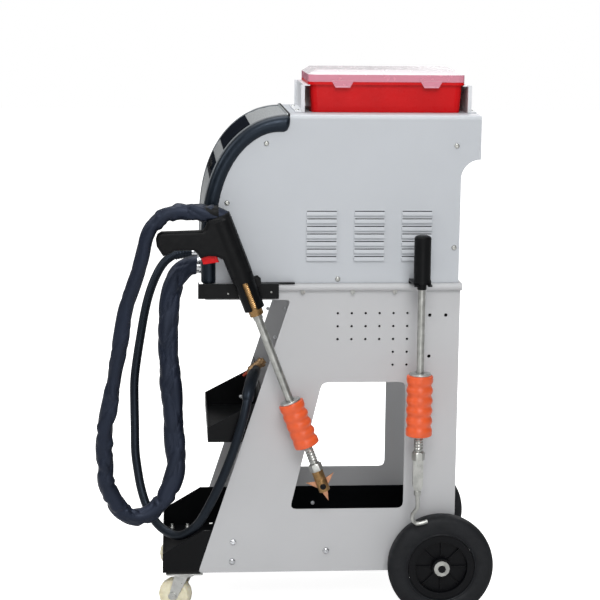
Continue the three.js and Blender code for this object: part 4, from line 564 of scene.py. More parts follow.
def screw_form(radius, height, socket, root=1.5):
    """A domed head with a hexagonal socket; z is 0 at the face that it sits on."""
    profile = [
        (0, height * 0.25), (socket, height * 0.25), (socket, height), (radius * 0.62, height),
        (radius * 0.88, height * 0.7), (radius, height * 0.3), (radius, -root), (0, -root),
    ]
    corners, faces = turned_mesh(profile, 24)
    shaped = []
    for x, y, z in corners:
        if math.hypot(x, y) < socket * 1.01:
            x, y, z = to_polygon(x, y, z, 6, 0.5)
        shaped.append((x, y, z))
    return shaped, faces


def nut_form(radius, height, root=1.5, sides=6):
    """A chamfered nut or bolt head, radius at its corners."""
    profile = [(0, height), (radius * 0.8, height), (radius, height * 0.86), (radius, -root), (0, -root)]
    corners, faces = turned_mesh(profile, 8 * sides)
    return [to_polygon(x, y, z, sides, radius * 0.9) for x, y, z in corners], faces


def thread_form(radius, depth, pitch, low, high, sides=40):
    """A screw thread: one ridge that climbs round the core."""
    rows = int((high - low) / pitch * 8)
    profile = [(0, low)] + [(radius, low + (high - low) * i / rows) for i in range(rows + 1)] + [(0, high)]
    corners, faces = turned_mesh(profile, sides)
    shaped = []
    for x, y, z in corners:
        turn = math.atan2(y, x) / (2 * math.pi)
        ridge = abs(2 * ((z / pitch - turn) % 1) - 1)
        edge = min(1, (z - low) / pitch, (high - z) / pitch)
        share = 1 + depth / radius * ridge * max(0, edge)
        shaped.append((x * share, y * share, z))
    return shaped, faces


def run_of(line):
    """The distance along the line at each of its points."""
    return np.concatenate([[0], np.cumsum(np.linalg.norm(np.diff(line, axis=0), axis=1))])


def between(mark, low, high, first, second):
    """The blend of first at low and second at high."""
    return (high - mark) / (high - low) * first + (mark - low) / (high - low) * second


def spline_through(route, step):
    """Even points along a centripetal Catmull-Rom curve through the route, in millimetres."""
    points = np.asarray(route, dtype=float)
    points = np.vstack([2 * points[0] - points[1], points, 2 * points[-1] - points[-2]])
    dense = []
    for i in range(1, len(points) - 2):
        p0, p1, p2, p3 = points[i - 1 : i + 3]
        steps = [np.linalg.norm(b - a) ** 0.5 for a, b in ((p0, p1), (p1, p2), (p2, p3))]
        t = np.cumsum([0, *steps])
        for u in np.linspace(t[1], t[2], 40, endpoint=False):
            level = [p0, p1, p2, p3]
            for reach in (1, 2):
                level = [between(u, t[k], t[k + reach], *level[k : k + 2]) for k in range(len(level) - 1)]
            dense.append(between(u, t[1], t[2], *level))
    dense.append(points[-2])
    dense = np.array(dense)
    run = run_of(dense)
    count = max(2, int(round(run[-1] / step)))
    marks = np.linspace(0, run[-1], count + 1)
    return np.stack([np.interp(marks, run, dense[:, k]) for k in range(3)], axis=1), marks


def eased(line, passes):
    """The line with small kinks smoothed out; its ends stay where they are."""
    line = line.copy()
    for _ in range(passes):
        line[2:-2] = (line[1:-3] + 2 * line[2:-2] + line[3:-1]) / 4
    return line


def section_frames(line):
    """Two directions across the line at each point, carried along without twist."""
    tangents = np.gradient(line, axis=0)
    tangents /= np.linalg.norm(tangents, axis=1)[:, None]
    first = np.cross(tangents[0], (0, 0, 1.0))
    if np.linalg.norm(first) < 0.1:
        first = np.cross(tangents[0], (0, 1.0, 0))
    first /= np.linalg.norm(first)
    across = [first]
    for tangent in tangents[1:]:
        side = across[-1] - tangent * np.dot(across[-1], tangent)
        across.append(side / np.linalg.norm(side))
    across = np.array(across)
    return tangents, across, np.cross(tangents, across)


SLEEVE_RADIUS_RANGE = (12.3, 23.2)


def tube_piece(name, line, radii, look, sides, relief=None):
    """A tube along a line in millimetres, with radii along it and, on the sleeve, a relief."""
    tangents, across, upward = section_frames(line)
    angles = np.linspace(0, 2 * math.pi, sides, endpoint=False)
    run = run_of(line)
    radius = np.repeat(np.asarray(radii)[:, None], sides, axis=1)
    if relief is not None:
        radius = np.clip(radius + relief(run, angles, across, upward), *SLEEVE_RADIUS_RANGE)
    ring = across[:, None, :] * np.cos(angles)[None, :, None]
    ring += upward[:, None, :] * np.sin(angles)[None, :, None]
    corners = line[:, None, :] + ring * radius[:, :, None]
    count = len(line)
    flat = [at(*c) for c in corners.reshape(-1, 3)]
    uvs = [(run[i] * MM, angles[j] * radii[i] * MM) for i in range(count) for j in range(sides)]
    faces = side_faces(count, sides)
    for row in (0, count - 1):
        middle = len(flat)
        flat.append(at(*line[row]))
        uvs.append((run[row] * MM, 0.0))
        for j in range(sides):
            face = (row * sides + j, row * sides + (j + 1) % sides, middle)
            faces.append(face if row else face[::-1])
    return make_piece(name, flat, faces, look, uvs=uvs)


# Leads: their routes, ends included

GUN_LEAD = [
    (-458, -80, 661), (-474, -80, 661), (-495, -86, 640), (-504.7, -90, 610.6), (-509.5, -94, 581),
    (-512, -98, 540), (-512.6, -102, 500), (-509.5, -106, 455), (-504, -110, 400), (-501, -114, 350),
    (-499.2, -120, 300), (-501, -124.5, 268), (-510, -128, 243), (-523, -132, 218), (-543, -136, 197),
    (-568, -140, 188), (-597, -144, 199), (-614.4, -147.5, 225), (-627, -149.5, 257), (-631.5, -154, 310),
    (-630.5, -157, 352), (-622.4, -161, 398), (-614.5, -165, 444.5), (-603.7, -170, 506), (-593, -175, 566),
    (-583.5, -178, 611), (-575, -181, 641), (-563, -184.5, 671), (-556, -187, 696), (-553, -188.5, 716),
    (-547, -190, 736), (-535, -190, 755), (-517, -190, 769), (-489, -190, 775), (-462, -190, 772.5),
    (-440, -190, 772), (-424, -190, 769), (-408, -190, 763),
]
GROUND_LEAD = [
    (-466.6, 80, 661), (-482, 80, 661), (-500, 79, 656), (-516.6, 77, 645), (-528.4, 73, 630),
    (-543, 67, 599.5), (-553, 60, 569), (-560, 54, 538), (-568, 45, 492), (-573, 38, 461.5),
    (-578.7, 28, 416), (-578.8, 17.5, 370), (-577.8, 2.5, 325.6), (-577, -12.5, 281), (-573, -22.5, 252),
    (-566, -38, 216), (-553, -60, 182), (-531, -84, 154), (-495, -114, 142.5), (-463, -136, 166),
    (-440, -152, 206), (-413, -163, 266), (-391, -166, 325), (-380, -166, 361), (-369, -163, 400),
    (-362, -146, 432), (-354, -112, 450), (-348, -76, 452), (-344, -46, 447), (-343.4, -25.3, 446.7),
]
SLEEVE_STEP = 2.5
SLEEVE_SIDES = 72
# Radii of the loose sleeve at shares of its length, from the terminal to the gun.
SLEEVE_RADII = [
    (0.0, 18.6), (0.012, 18.4), (0.04, 19.5), (0.1, 20.5), (0.2, 21.0), (0.3, 20.5), (0.36, 19.0),
    (0.42, 17.5), (0.5, 18.0), (0.56, 16.5), (0.64, 15.5), (0.74, 15.0), (0.82, 14.0), (0.87, 13.6),
    (0.9, 14.2), (0.935, 16.2), (0.965, 17.0), (0.988, 15.6), (1.0, 13.4),
]
# Pinches where the sleeve folds: share of its length, depth, half width along it, and angle.
SLEEVE_PINCHES = [
    (0.045, 2.6, 5, 0.4), (0.36, 3.2, 5, 1.0), (0.375, 2.4, 4, 4.2), (0.392, 3.4, 5, 0.2),
    (0.41, 2.6, 4, 2.4), (0.43, 3.6, 6, 5.6), (0.447, 2.4, 4, 3.4), (0.47, 3.2, 5, 0.8),
    (0.49, 2.2, 4, 4.8), (0.52, 2.6, 6, 1.6), (0.545, 3.0, 7, 4.9), (0.575, 2.4, 6, 0.9),
    (0.62, 2.2, 8, 3.1), (0.7, 2.0, 9, 5.2), (0.8, 2.2, 8, 1.4), (0.885, 3.0, 6, 4.7),
    (0.9, 3.4, 5, 1.2), (0.915, 3.8, 5, 4.4), (0.927, 3.2, 5, 0.2), (0.94, 3.4, 5, 2.8),
    (0.955, 3.8, 5, 5.4), (0.975, 3.0, 4, 0.6),
]


def sleeve_relief(run, angles, across, upward):
    """Loose cloth: long soft folds, pinches where it bends, a section laid flat and the sewn hem."""
    rng = np.random.default_rng(11)
    along = run[:, None]
    around = angles[None, :]
    relief = np.zeros((len(run), len(angles)))
    for _ in range(9):
        wave = rng.uniform(90, 230)
        twist = rng.integers(-2, 3)
        depth = rng.uniform(0.2, 0.5)
        relief += depth * np.sin(2 * math.pi * along / wave + twist * around + rng.uniform(0, 6.3))
    for _ in range(6):
        wave = rng.uniform(130, 260)
        twist = int(rng.choice([-1, 1]))
        phase = 2 * math.pi * along / wave + twist * around + rng.uniform(0, 6.3)
        relief -= 2.1 * (1 - np.abs(np.sin(phase / 2))) ** 5
    for share, depth, width, angle in SLEEVE_PINCHES:
        slant = along - share * run[-1] + 5 * np.sin(around - angle)
        facing = np.clip(np.cos(around - angle) + 0.25, 0, 1)
        relief -= depth * np.exp(-((slant / width) ** 2)) * facing
        relief += 0.4 * depth * np.exp(-(((slant - 2 * width) / width) ** 2)) * facing
    toward_side = across[:, 1:2] * np.cos(around) + upward[:, 1:2] * np.sin(around)
    share = along / run[-1]
    laid_flat = np.clip(np.minimum((share - 0.03) / 0.05, (0.5 - share) / 0.1), 0, 1)
    relief -= (2.2 + 4.6 * laid_flat) * toward_side ** 2
    hem_angle = 2.2 + 0.5 * np.sin(along / 210)
    offset = np.angle(np.exp(1j * (around - hem_angle))) * 16
    relief += 0.7 * np.clip(1 - (np.abs(offset) / 5.5) ** 6, 0, 1)
    ends = np.clip(np.minimum(run, run[-1] - run) / 22, 0, 1)[:, None]
    return relief * ends


def make_gun_lead():
    line, marks = spline_through(GUN_LEAD, SLEEVE_STEP)
    line = eased(line, 30)
    shares, radii = zip(*SLEEVE_RADII)
    radius = np.interp(marks / marks[-1], shares, radii)
    sleeve = tube_piece("gun_lead_sleeve", line, radius, "sleeve", SLEEVE_SIDES, sleeve_relief)
    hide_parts("gun_lead")
    return sleeve, line


def length_of(line):
    return float(run_of(line)[-1])


sleeve, sleeve_line = make_gun_lead()
lead_line, lead_marks = spline_through(GROUND_LEAD, 4.0)
lead_line = eased(lead_line, 8)
lead_radii = np.full(len(lead_line), 8.6)
ground_lead = tube_piece("ground_lead_cable", lead_line, lead_radii, "lead", 36)
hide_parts("ground_lead")

# The rubber handle behind the clamp, by shares of the lead, and the boot where the lead leaves the machine.
GRIP_FROM, GRIP_TO = 0.868, 0.95
BOOT_LENGTH = 34.0


def make_lead_grip():
    shares = np.linspace(GRIP_FROM, GRIP_TO, 40)
    marks = shares * lead_marks[-1]
    line = np.stack([np.interp(marks, lead_marks, lead_line[:, k]) for k in range(3)], axis=1)
    steps = np.linspace(0, 1, len(line))
    radii = 9.2 + 2.6 * np.clip(np.minimum(steps, 1 - steps) / 0.14, 0, 1) ** 0.5
    return tube_piece("ground_grip", line, radii, "grip", 40)


def make_boot():
    line = np.array([(-466.2 - d, 80, 661 - 0.006 * d * d) for d in np.linspace(0, BOOT_LENGTH, 24)])
    steps = np.linspace(0, 1, len(line))
    radii = 12.4 - 3.0 * steps + 0.45 * np.cos(steps * math.pi * 12) * (steps > 0.2)
    return tube_piece("ground_boot", line, radii, "grip", 40)


ground_grip = make_lead_grip()
ground_boot = make_boot()
round(length_of(sleeve_line) * MM, 3)
[at(*p) for p in sleeve_line[::6]] + [at(*sleeve_line[-1])]
round(length_of(lead_line) * MM, 3)
[at(*p) for p in lead_line[::4]] + [at(*lead_line[-1])]

# CAD pieces that are kept: their material, and edges eased as on real sheet, castings and mouldings


def dress(node, look, ease=0.35):
    piece = NODES[node]
    piece.data.materials.clear()
    piece.data.materials.append(LOOKS[look])
    weld = piece.modifiers.new("weld", "WELD")
    weld.merge_threshold = 0.00001
    if ease:
        flat = piece.modifiers.new("flat", "DECIMATE")
        flat.decimate_type = "DISSOLVE"
        flat.angle_limit = math.radians(0.6)
        bevel = piece.modifiers.new("ease", "BEVEL")
        bevel.width = ease * MM
        bevel.segments = 2
        bevel.limit_method = "ANGLE"
        bevel.angle_limit = math.radians(SMOOTH_ANGLE + 2)
    smooth(piece, True)


DRESSED = {
    "housing": ["housing_cover", "rear_panel"],
    "bracket_white": ["box_front_bracket", "box_rear_bracket"],
    "cart": ["left_side_plate", "right_side_plate", "top_deck", "base_pan"],
    "black_paint": ["base_tray", "upper_tray", "gun_bracket", "tool_hanger"],
    "black": [
        "gun_left_shell", "gun_right_shell", "mode_button", "start_button", "power_button",
        "power_switch", "mains_gland", "tool_handle",
    ],
    "hub": ["left_wheel_hub", "right_wheel_hub"],
    "fan": ["fan_frame", "fan_rotor"],
    "panel": ["front_panel"],
    "window": ["display_window", "keypad_window"],
    "red": ["parts_box", "gun_trigger"],
    "clear": ["parts_box_lid", "front_latch", "rear_latch"],
    "steel": ["rear_axle", "gun_slide_rod", "tool_slide_rod", "pull_hook"],
    "zinc": ["left_caster_plate", "right_caster_plate", "left_caster_fork", "right_caster_fork"],
    "chrome": ["gun_terminal", "ground_terminal"],
    "brass": ["gun_nose", "electrode_holder"],
    "bronze": ["ground_clamp"],
    "copper": ["star_bit"],
    "core": ["transformer_core"],
    "wire": ["primary_winding", "secondary_winding"],
    "board": ["power_board"],
    "nylon": ["left_caster_wheel", "right_caster_wheel"],
}
for look, names in DRESSED.items():
    for name in names:
        dress(name, look)

# Small fittings and finer stand-ins for CAD pieces

HALF_WIDTH = 150.0
PLATE_INSIDE = HALF_WIDTH - 2
FAR_TRAY_WALL = 141.8
LIP_MIDDLE, LIP_UNDERSIDE = 154.5, 623.4
BRACKET_FOOT = 949.3
TRAY_FLOOR = 84.2
GUN_BRACKET_FACE = 171.0
HOUSING_SCREWS = [(-332.4, 894.4), (-403.9, 785.6), (17.0, 891.0), (16.2, 702.8), (-199.2, 644.6)]
PLATE_BOLTS = [(-391.2, 141.1), (-393.0, 102.6), (-214.9, 121.8)]
LIP_BOLTS = [-263.7, -171.0, -92.9]
SMALL_HOLES = [(-68 - 26 * i, 580 - 24.5 * row) for row in range(5) for i in range(6 if row < 3 else 2)]
WIDE_HOLES = [(-26, 576), (4, 576), (-26, 498)]
FAR_PLATE_BOLTS = [(-312, 535), (-277, 534), (-297, 476)]
FAR_TRAY_BOLTS = [(-217.4, 128), (-365.7, 354)]
BRACKET_RIVETS = [(-323, 624), (-402, 621)]


def side_frame(sign, x, z, y=HALF_WIDTH):
    """A frame on a side of the machine whose Z points out of it."""
    return towards((x, sign * y, z), (0, sign, 0))


def insert_form(bore, depth):
    """A blind insert nut behind a hole; z is 0 at the sheet and the barrel goes down from it."""
    wall = bore + 1.6
    profile = [(0, 1 - depth), (bore, 1 - depth), (bore, 0), (wall + 1, 0), (wall + 1, -1), (wall, -1)]
    return turned_mesh([*profile, (wall, -depth), (0, -depth)], 20)


def pin_form(radius, length):
    """A round bolt end from z 0 up."""
    return turned_mesh(rounded([(0, 0), (radius, 0), (radius, length), (0, length)], 0.5), 16)


def make_side_fittings(name, sign):
    heads = copies(screw_form(4.8, 2.2, 2.0), [side_frame(sign, x, z) for x, z in HOUSING_SCREWS])
    gather(name + "_housing_screws", heads, "steel")
    bolts = copies(screw_form(6.2, 3.4, 2.6), [side_frame(sign, x, z) for x, z in PLATE_BOLTS])
    gather(name + "_plate_bolts", bolts, "chrome")
    small = [side_frame(sign, x, z, PLATE_INSIDE) for x, z in SMALL_HOLES]
    wide = [side_frame(sign, x, z, PLATE_INSIDE) for x, z in WIDE_HOLES]
    # Painted shade: the inserts behind the holes are black, the shade inside the holes.
    inserts = copies(insert_form(2.45, 8), small) + copies(insert_form(3.4, 10), wide)
    gather(name + "_hole_shade_inserts", inserts, "hub")
    under = [towards((x, sign * LIP_MIDDLE, LIP_UNDERSIDE), DOWN) for x in LIP_BOLTS]
    nuts = copies(nut_form(5, 4), under) + copies(thread_form(2.6, 0.3, 1.0, 0, 6.5, 20), under)
    gather(name + "_deck_nuts", nuts, "zinc")


def make_fittings():
    for name, sign in SIDES:
        make_side_fittings(name, sign)
    feet = [towards((x, y, BRACKET_FOOT), UP) for x in (-270.5, 56.5) for y in (-55, 55)]
    gather("bracket_screws", copies(screw_form(4, 1.8, 1.6), feet), "zinc")
    plate = [side_frame(-1, x, z, -PLATE_INSIDE) for x, z in FAR_PLATE_BOLTS]
    tray = [side_frame(-1, x, z, -FAR_TRAY_WALL) for x, z in FAR_TRAY_BOLTS]
    far = copies(screw_form(3.6, 2.4, 1.5), plate) + copies(screw_form(3.8, 2.6, 1.6), tray)
    # Painted highlight: the bolts in the shade behind the near plate are painted white, standing for chrome
    # that catches the light.
    gather("far_side_bolts", far, "bracket_white")
    studs = [towards((x, y, TRAY_FLOOR), UP) for x in (-507, -475) for y in (118, -118)]
    nuts = copies(nut_form(5.5, 4.5), studs) + copies(thread_form(3.2, 0.4, 1.2, 0, 10, 20), studs)
    gather("caster_nuts", nuts, "zinc")
    ends = [
        (*pin_form(1.8, 12), towards((-434, -140, 159.5), FORWARD)),
        (*pin_form(1.8, 6.5), towards((-429.5, -140, 175.2), FORWARD)),
        (*pin_form(2.3, 20), towards((-450.5, -80, 646.9), FORWARD)),
    ]
    gather("bolt_ends", ends, "zinc")
    rivets = [side_frame(-1, x, z, GUN_BRACKET_FACE) for x, z in BRACKET_RIVETS]
    gather("bracket_rivets", copies(screw_form(2.0, 0.8, 0.8), rivets), "steel")


WHEEL_MIDDLE = 181.0
WHEEL_RADIUS = 100.0
# Half of a tyre's section, from its bead to the tread: radius, and distance from its middle plane.
TYRE_HALF = [
    (63, 14.5), (63.6, 16.4), (65, 17.2), (66.4, 16.6), (68.5, 18.2), (74, 19.8), (82, 20), (89, 19.6),
    (94.4, 17.8), (97.8, 14.2), (99.4, 9.4), (WHEEL_RADIUS, 4),
]


def make_wheels():
    axle_end = (AXLE_HIGH.y - AXLE_LOW.y) / 2 / MM
    profile = TYRE_HALF + [(r, -h) for r, h in reversed(TYRE_HALF)]
    for name, sign in SIDES:
        place = side_frame(sign, 0, WHEEL_RADIUS, WHEEL_MIDDLE)
        tyre = turned_piece(name + "_tyre_rubber", profile, place, "tyre", name + "_wheel", 128, True)
        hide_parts(name + "_tyre")
        # Painted shade: a thin black octagon at the axle end, the shade in its recess.
        cap = copies(nut_form(7.6, 0.7, 0.3, 8), [side_frame(sign, 0, WHEEL_RADIUS, axle_end)])
        gather(name + "_axle_end_shade", cap, "hub")


JACKET_BORE = 8.3
JACKET_EDGE = 3.2
GROOVE_DEPTH = 3.0
WASHER_HEIGHT = 4.5


def jacket_shape(low, high, radius, waves, lean):
    """Bulges between finger grooves, deeper toward +X by the share lean."""
    def shape(x, y, z):
        reach = math.hypot(x, y)
        if reach < radius * 0.6:
            return x, y, z
        step = (z - low) / (high - low) * waves
        groove = (0.5 + 0.5 * math.cos(2 * math.pi * step)) ** 1.3
        if step < 0.5 or step > waves - 0.5:
            groove = 0
        depth = GROOVE_DEPTH * groove * (1 - lean + lean * max(0, x / reach))
        return x * (1 - depth / reach), y * (1 - depth / reach), z
    return shape


def make_weight(node, place, top, length, radius, waves, lean, body, screw_end, thread_body):
    """A slide weight: an orange grip jacket, a steel washer over it and the thread under it."""
    low = top - length
    high = top - WASHER_HEIGHT - 0.2
    rows = 12 * waves
    profile = [(JACKET_BORE, low)]
    for i in range(rows + 1):
        z = low + (high - low) * i / rows
        near = min(z - low, high - z, JACKET_EDGE)
        bulge = math.sqrt(JACKET_EDGE ** 2 - (JACKET_EDGE - near) ** 2)
        profile.append((radius - JACKET_EDGE + bulge, z))
    profile.append((JACKET_BORE, high))
    shape = jacket_shape(low, high, radius, waves, lean)
    jacket = turned_piece(
        node + "_jacket", profile, place, "orange", body, 72, True, shape
    )
    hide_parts(node)
    rim = radius * 0.83
    base = top - WASHER_HEIGHT
    washer = rounded([(JACKET_BORE, base), (rim, base), (rim, top - 1), (JACKET_BORE, top)], 0.6, 3, True)
    turned_piece(node + "_washer", washer, place, "zinc", body, 64, True)
    thread = thread_form(7.2, 1.5, 5.6, screw_end, low - 1.5)
    gather(node + "_thread", [(*thread, place)], "steel", thread_body)


# The electrode holder along the gun: its nut's upper end, where the slot starts, and its lower end.
HOLDER_TOP, HOLDER_SLOT, HOLDER_LOW = -315.2, -333.2, -357.2
HOLDER_RADIUS = 10.8
HOLDER_GAP = 1.3
HOLSTER_LUG = [(-366, 651), (-349, 656), (-342.7, 650.5), (-341.8, 635.6), (-350.2, 634), (-366, 630)]
HOOK_NUT = -331
HOOK_COLLAR = [(0, -399), (6.6, -399), (6.6, -390), (0, -390)]


def make_gun_fittings():
    nose = thread_form(14.6, 0.9, 3.4, 14, 62, 64)
    gather("gun_nose_thread", [(*nose, GUN_FRAME)], "brass")
    nut = (*nut_form(12.4, 14.2, 0), GUN_FRAME @ Matrix.Translation((0, 0, HOLDER_TOP)))
    gather("holder_nut", [nut], "steel")
    make_holder()
    place = GUN_FRAME @ Matrix.Translation((0, -11.0, -346)) @ Matrix.Rotation(math.radians(90), 4, "X")
    gather("holder_screw", [(*screw_form(5.6, 0.9, 3.4), place)], "hub")
    slab_piece("holster_lug", HOLSTER_LUG, -178, -172, "black_paint")


def make_holder():
    """The brass barrel: whole under the nut, two halves with a slot between them for the star bit."""
    radius, overlap = HOLDER_RADIUS, HOLDER_SLOT + 0.5
    whole = rounded([(0, HOLDER_SLOT), (radius, HOLDER_SLOT), (radius, HOLDER_TOP), (0, HOLDER_TOP)], 0.5)
    forms = [(*turned_mesh(whole, 48), GUN_FRAME)]
    split = rounded([(0, HOLDER_LOW), (radius, HOLDER_LOW), (radius, overlap), (0, overlap)], 1.6)
    corners, faces = turned_mesh(split, 48)
    for side in (-1, 1):
        half = [(x, side * max(HOLDER_GAP, side * y), z) for x, y, z in corners]
        forms.append((half, faces, GUN_FRAME))
    piece = gather("holder_barrel", forms, "brass")
    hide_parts("electrode_holder")


def make_hook_fittings():
    nut = (*nut_form(12.2, 15.6, 0), TOOL_FRAME @ Matrix.Translation((0, 0, HOOK_NUT)))
    gather("hook_nut", [nut], "steel", "pull_tool")
    collar = rounded(HOOK_COLLAR, 1.2)
    turned_piece("hook_collar", collar, TOOL_FRAME, "steel", "pull_tool", 32)


LOUVRE_COLUMNS = [-230, -142, -54]
LOUVRE_TOPS = [776 - 14 * row for row in range(7)]
LOUVRE_HALF = 28.5
# Outlines of the dark strip painted as shade at a louvre's top, and of the lip below it: out from the side,
# and down from the louvre's top.
LOUVRE_SHADE_STRIP = [(0.4, 4.4), (2.075, 4.4), (2.775, 6.0), (0.4, 6.0)]
LOUVRE_LIP = [(0.3, 6.2), (3.2, 6.2), (5.1, 12.0), (5.0, 12.9), (4.2, 13.5), (0.3, 13.7)]


def louvre_bars(sign, outline, short):
    """One bar along X for each louvre, shorter than it by short at both ends."""
    forms = []
    for x in LOUVRE_COLUMNS:
        ends = (x - LOUVRE_HALF + short, x + LOUVRE_HALF - short)
        for top in LOUVRE_TOPS:
            corners = [(end, sign * (HALF_WIDTH + out), top - drop) for end in ends for out, drop in outline]
            forms.append((corners, capped_faces(2, len(outline)), MACHINE_FRAME))
    return forms


def make_louvres():
    for name, sign in SIDES:
        # Painted shade: dark strips along the top of each louvre.
        gather(name + "_louvre_slot_shades", louvre_bars(sign, LOUVRE_SHADE_STRIP, 1.2), "hub")
        gather(name + "_louvre_lips", louvre_bars(sign, LOUVRE_LIP, 0.6), "housing")


# The line of the machine's front, from the top down: a curve and the straight part under it.
NOSE_CURVE = ((-290, 946), (-379, 946), (-451, 868), (-451, 720))
NOSE_FOOT = 637.3
NOSE_REACH = 600
TRIM_DEPTH = 27.0
TRIM_INSET = 0.8
TRIM_INNER, TRIM_OUTER = 130.0, 158.0
TRIM_ROUND = 12.0
END_ROUND = 17.0
EDGE_ROUND_LENGTH, EDGE_ROUND_DEPTH = 9, 7
FLARE_DEPTH = 6.0
FLARE_LENGTH = 62.0
# The panel's rear end: a light lip and a dark strip across the machine, and a filling at either side.
PANEL_HALF = 146
PANEL_LIP = [(-295.2, 944), (-295.2, 948.2), (-293.4, 948.8), (-293.4, 944)]
PANEL_STRIP = [(-293.4, 944), (-293.4, 948.9), (-289.4, 948.6), (-289.4, 944)]
CORNER_FILL = [(-322, 912), (-289.2, 912), (-289.2, 935), (-322, 935)]
SKIRT_SECTION = [(-0.2, 129.4), (-0.2, PANEL_HALF), (1.0, PANEL_HALF), (1.0, 129.4)]


def nose_line(marks):
    """Points at marks down the nose line, with the direction into the machine at each."""
    p = [np.array(c, dtype=float) for c in NOSE_CURVE]
    t = np.linspace(0, 1, 400)[:, None]
    curve = (1 - t) ** 3 * p[0] + 3 * t * (1 - t) ** 2 * p[1] + 3 * t ** 2 * (1 - t) * p[2] + t ** 3 * p[3]
    curve = np.vstack([curve, [[p[3][0], NOSE_FOOT]]])
    run = run_of(curve)
    marks = marks[marks <= run[-1]]
    points = np.stack([np.interp(marks, run, curve[:, k]) for k in range(2)], axis=1)
    along = np.gradient(points, axis=0)
    along /= np.linalg.norm(along, axis=1)[:, None]
    return points, np.stack([-along[:, 1], along[:, 0]], axis=1)


def nose_strip(name, sign, marks, section_at, look):
    """A strip down the nose line. Its section at a mark is a list of (depth into the machine, y)."""
    points, inward = nose_line(marks)
    sections = [section_at(mark) for mark in marks[:len(points)]]
    corners = []
    for point, into, section in zip(points, inward, sections):
        for inset, y in section:
            x, z = point + into * inset
            corners.append(at(x, sign * y, z))
    return make_piece(name, corners, capped_faces(len(sections), len(sections[0])), look)


def trim_section(mark):
    """The rounded rail's section: a full round, wider toward its rounded upper end."""
    left = max(0.0, 1 - mark / END_ROUND)
    grown = END_ROUND * (math.sqrt(1 - left ** 2) - 1)
    flare = FLARE_DEPTH * max(0.0, 1 - mark / FLARE_LENGTH) ** 1.5
    depth = TRIM_DEPTH + flare + grown
    edge = max(0.0, 1 - mark / EDGE_ROUND_LENGTH)
    outer = TRIM_OUTER - EDGE_ROUND_DEPTH * (1 - math.sqrt(1 - edge ** 2))
    section = [(TRIM_INSET, TRIM_INNER)]
    for turn in np.linspace(math.pi, 0, 25):
        inset = TRIM_INSET + (depth - TRIM_INSET) * (1 + math.cos(turn)) / 2
        section.append((inset, outer - TRIM_ROUND * (1 - math.sin(turn))))
    return [*section, (depth, TRIM_INNER)]


def make_trim(name, sign):
    run_in = END_ROUND * (1 - np.cos(np.linspace(0, math.pi / 2, 12)))
    marks = np.concatenate([run_in, np.arange(END_ROUND + 2.5, NOSE_REACH, 2.5)])
    rail = nose_strip(name + "_nose_rail", sign, marks, trim_section, "trim")
    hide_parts(name + "_nose_trim")


def make_panel_edge():
    slab_piece("panel_lip", PANEL_LIP, -PANEL_HALF, PANEL_HALF, "panel")
    slab_piece("panel_strip", PANEL_STRIP, -PANEL_HALF, PANEL_HALF, "hub")
    for name, sign in SIDES:
        low, high = sorted((sign * 146.5, sign * 149.6))
        slab_piece(name + "_corner_fill", CORNER_FILL, low, high, "housing", 0.2)
        marks = np.arange(4.0, NOSE_REACH, 3.0)
        nose_strip(name + "_panel_skirt", sign, marks, lambda mark: SKIRT_SECTION, "skirt")


for name, sign in SIDES:
    make_trim(name, sign)
make_fittings()
make_wheels()
make_weight("gun_slide_weight", GUN_FRAME, -171, 93, 23.6, 5, 0.5, "gun_weight", -301, "machine")
make_weight("tool_slide_weight", TOOL_FRAME, -166, 119, 24.4, 6, 0.25, "pull_weight", -315, "pull_tool")
make_gun_fittings()
make_hook_fittings()
make_louvres()
make_panel_edge()

# Studio


def seen_directly(tree):
    """1 for the rays that come from the camera or through the clear lid, else 0."""
    path = node_of(tree, "ShaderNodeLightPath")
    return math_of(tree, "MAXIMUM", path.outputs["Is Camera Ray"], path.outputs["Is Transmission Ray"])


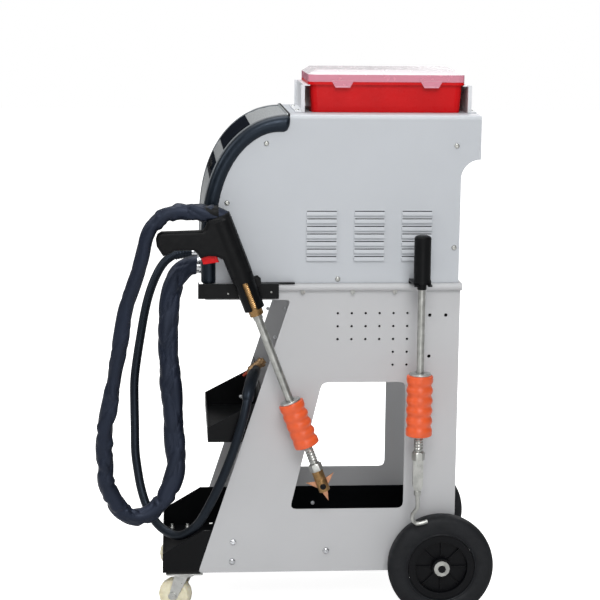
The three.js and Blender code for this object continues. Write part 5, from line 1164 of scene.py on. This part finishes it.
def make_world():
    """White for the camera, and a soft dome that is brighter overhead for everything else."""
    world = bpy.data.worlds.new("studio")
    world.use_nodes = True
    bpy.context.scene.world = world
    tree = world.node_tree
    background = tree.nodes["Background"]
    dome = spread(tree, part_of(tree, "Generated", "Z"), 0.03, 0.6, -0.1, 0.95)
    brightness = math_of(tree, "MAXIMUM", dome, seen_directly(tree))
    tree.links.new(brightness, background.inputs["Strength"])
    background.inputs["Color"].default_value = (1, 1, 1, 1)


def make_floor():
    """A pale floor that reads as white to the camera and still takes a soft shadow."""
    size = 14.0
    mesh = bpy.data.meshes.new("floor")
    corners = [(-size, -size, 0), (size, -size, 0), (size, size, 0), (-size, size, 0)]
    mesh.from_pydata(corners, [], [(0, 1, 2, 3)])
    material = bpy.data.materials.new("floor")
    material.use_nodes = True
    tree = material.node_tree
    tree.nodes.remove(tree.nodes["Principled BSDF"])
    matte = node_of(tree, "ShaderNodeBsdfDiffuse", {"Color": (0.72, 0.72, 0.72, 1)}).outputs["BSDF"]
    glow = node_of(tree, "ShaderNodeEmission", {"Strength": 0.93}).outputs["Emission"]
    both = node_of(tree, "ShaderNodeAddShader", {0: matte, 1: glow}).outputs["Shader"]
    choice = node_of(tree, "ShaderNodeMixShader", {"Fac": seen_directly(tree), 1: matte, 2: both})
    tree.links.new(choice.outputs["Shader"], tree.nodes["Material Output"].inputs["Surface"])
    mesh.materials.append(material)
    floor = bpy.data.objects.new("floor", mesh)
    bpy.context.collection.objects.link(floor)


def soft_box(name, place, size, power):
    """A square light that faces the machine's middle."""
    data = bpy.data.lights.new(name, "AREA")
    data.size = size
    data.energy = power
    light = bpy.data.objects.new(name, data)
    aim = Vector((0, 0, 0.55)) - Vector(place)
    light.rotation_euler = aim.to_track_quat("-Z", "Y").to_euler()
    light.location = place
    bpy.context.collection.objects.link(light)


bpy.context.scene.view_settings.view_transform = "Standard"
make_world()
make_floor()
soft_box("key", (0.0, -5.2, 4.6), 2.9, 208)
soft_box("fill", (0.0, -4.4, 0.7), 1.8, 26)
soft_box("side", (-3.2, -0.7, 2.6), 1.8, 34)
soft_box("top", (-0.3, 0.4, 3.4), 2.2, 50)
soft_box("rim", (1.2, 3.0, 2.2), 1.4, 16)
